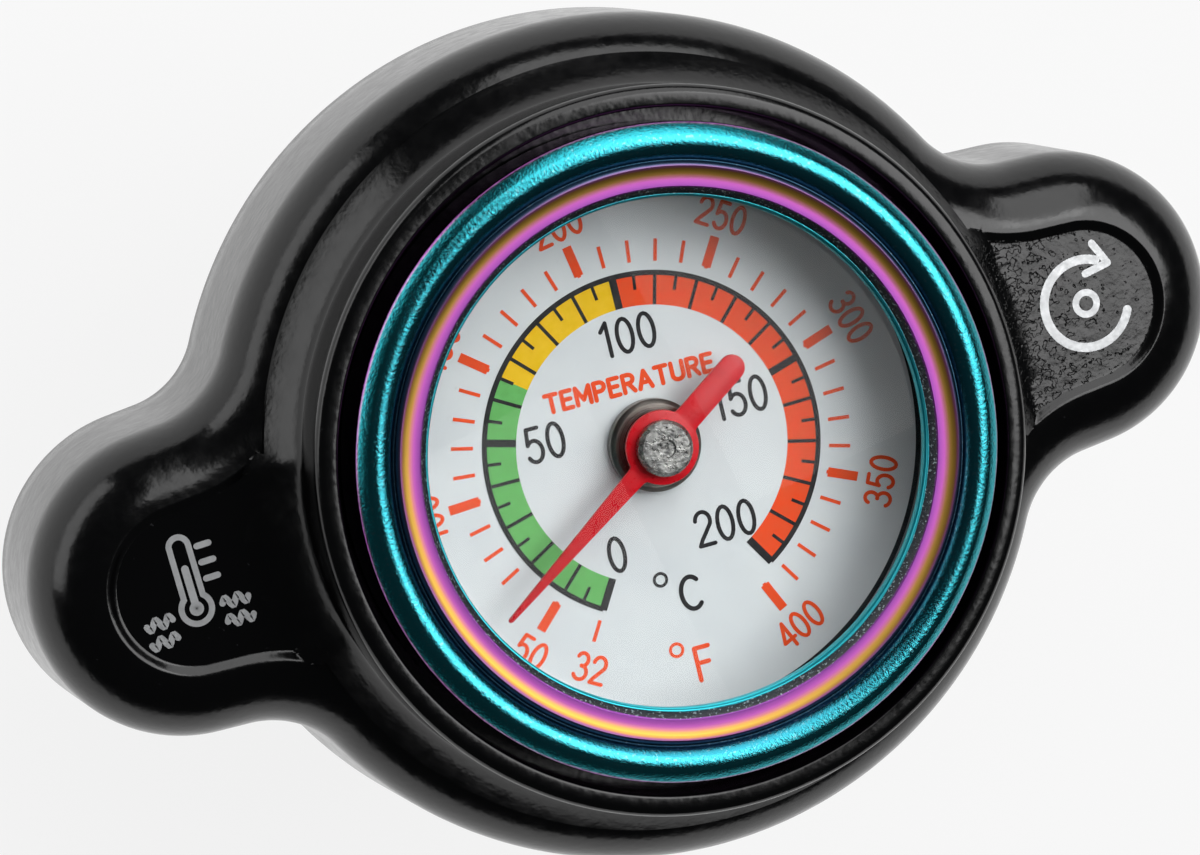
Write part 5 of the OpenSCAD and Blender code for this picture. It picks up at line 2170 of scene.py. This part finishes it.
    def build_pressure(self) -> None:
        """Build the pressure valve's pieces, and the vacuum valve's clip and spring."""
        look, body = self.palette, Body.PRESSURE
        cup = self.turned("spring_cup", self.cup, look.pressed)
        self.vent(cup, self.cup_vents, -13.0, -10.5)
        settle(cup, body, "pressed_steel", "valve_cup")
        pan = self.turned("pan", self.pan, look.pressed)
        self.vent(pan, self.pan_vents, -17.4, -15.8)
        settle(pan, body, "pressed_steel", "seal_pan")
        settle(self.turned("sleeve", self.sleeve, look.brass), body, "stem_brass", "valve_sleeve")
        settle(self.turned("seat_seal", self.seal, look.rubber), body, "black_rubber", "valve_seal")
        clip = lathe("snap_clip", rounded(self.clip, 3), look.pressed, 96, CREASE, self.clip_mouth / 2,
                     360 - self.clip_mouth)
        settle(clip, body, "pressed_steel", "vacuum_clip")
        spring, tall = self.coil("light_spring", self.light_spring, body, "vacuum_spring")
        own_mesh(spring)


@dataclass
class Studio:
    """Floor, soft lamps and the camera at the photograph's viewing angle."""

    palette: Palette
    floor_z: float = -0.0364
    floor_half: float = 3.0
    place: Corner = (-0.06108, 0.04232, 0.28467)
    right: Corner = (0.9325, -0.2714, 0.2383)
    up: Corner = (0.2967, 0.9518, -0.0772)
    back: Corner = (-0.2059, 0.1427, 0.9681)
    lens: float = 128.19
    lamps: tuple[tuple[str, Corner, Pair, float], ...] = (
        ("top_lamp", (0.17, 0.385, 0.38), (0.38, 0.5), 1.4),
        ("right_lamp", (0.29, 0.065, 0.48), (0.35, 0.38), 1.5),
        ("left_lamp", (-0.35, 0.28, 0.085), (0.5, 0.15), 0.45))
    sky: Colour = (0.9, 0.95, 1.0)
    sky_power: float = 0.035

    def build(self) -> None:
        """Set the floor, the light and the camera."""
        scene = bpy.context.scene
        scene.view_settings.view_transform = "Standard"
        half, level = self.floor_half, self.floor_z
        mesh = bpy.data.meshes.new("studio_floor")
        corners = ((-half, -half), (half, -half), (half, half), (-half, half))
        mesh.from_pydata([(x, y, level) for x, y in corners], [], [(0, 1, 2, 3)])
        mesh.materials.append(self.palette.floor)
        floor = add_object("studio_floor", mesh)
        for name, place, size, power in self.lamps:
            lamp = bpy.data.lights.new(name, "AREA")
            lamp.shape, lamp.size, lamp.size_y, lamp.energy = "RECTANGLE", size[0], size[1], power
            holder = add_object(name, lamp)
            holder.location = place
            holder.rotation_euler = (-Vector(place)).to_track_quat("-Z", "Y").to_euler()
        world = bpy.data.worlds.new("studio_world")
        world.use_nodes = True
        sky = world.node_tree.nodes["Background"].inputs
        sky[0].default_value, sky[1].default_value = (*self.sky, 1.0), self.sky_power
        scene.world = world
        lens = bpy.data.cameras.new("photo_camera")
        lens.lens, lens.clip_start = self.lens, 0.01
        lens.sensor_width, lens.sensor_fit = 36.0, "HORIZONTAL"
        camera = add_object("photo_camera", lens)
        rows = [(*axis, place) for axis, place in zip(zip(self.right, self.up, self.back), self.place)]
        camera.matrix_world = Matrix(rows + [(0.0, 0.0, 0.0, 1.0)])
        scene.camera = camera


def main() -> None:
    """Build every sub-assembly in order and set the scene."""
    logging.basicConfig(level=logging.INFO, format="%(message)s")
    palette = Palette()
    Studio(palette).build()
    Casting(palette).build()
    PadSigns(palette).build()
    Window(palette).build()
    Dial(palette, FanTree()).build()
    Needle(palette).build()
    Probe(palette, CoilTree(Section.FLAT)).build()
    Valve(palette, CoilTree(Section.ROUND)).build()


if __name__ == "__main__":
    main()
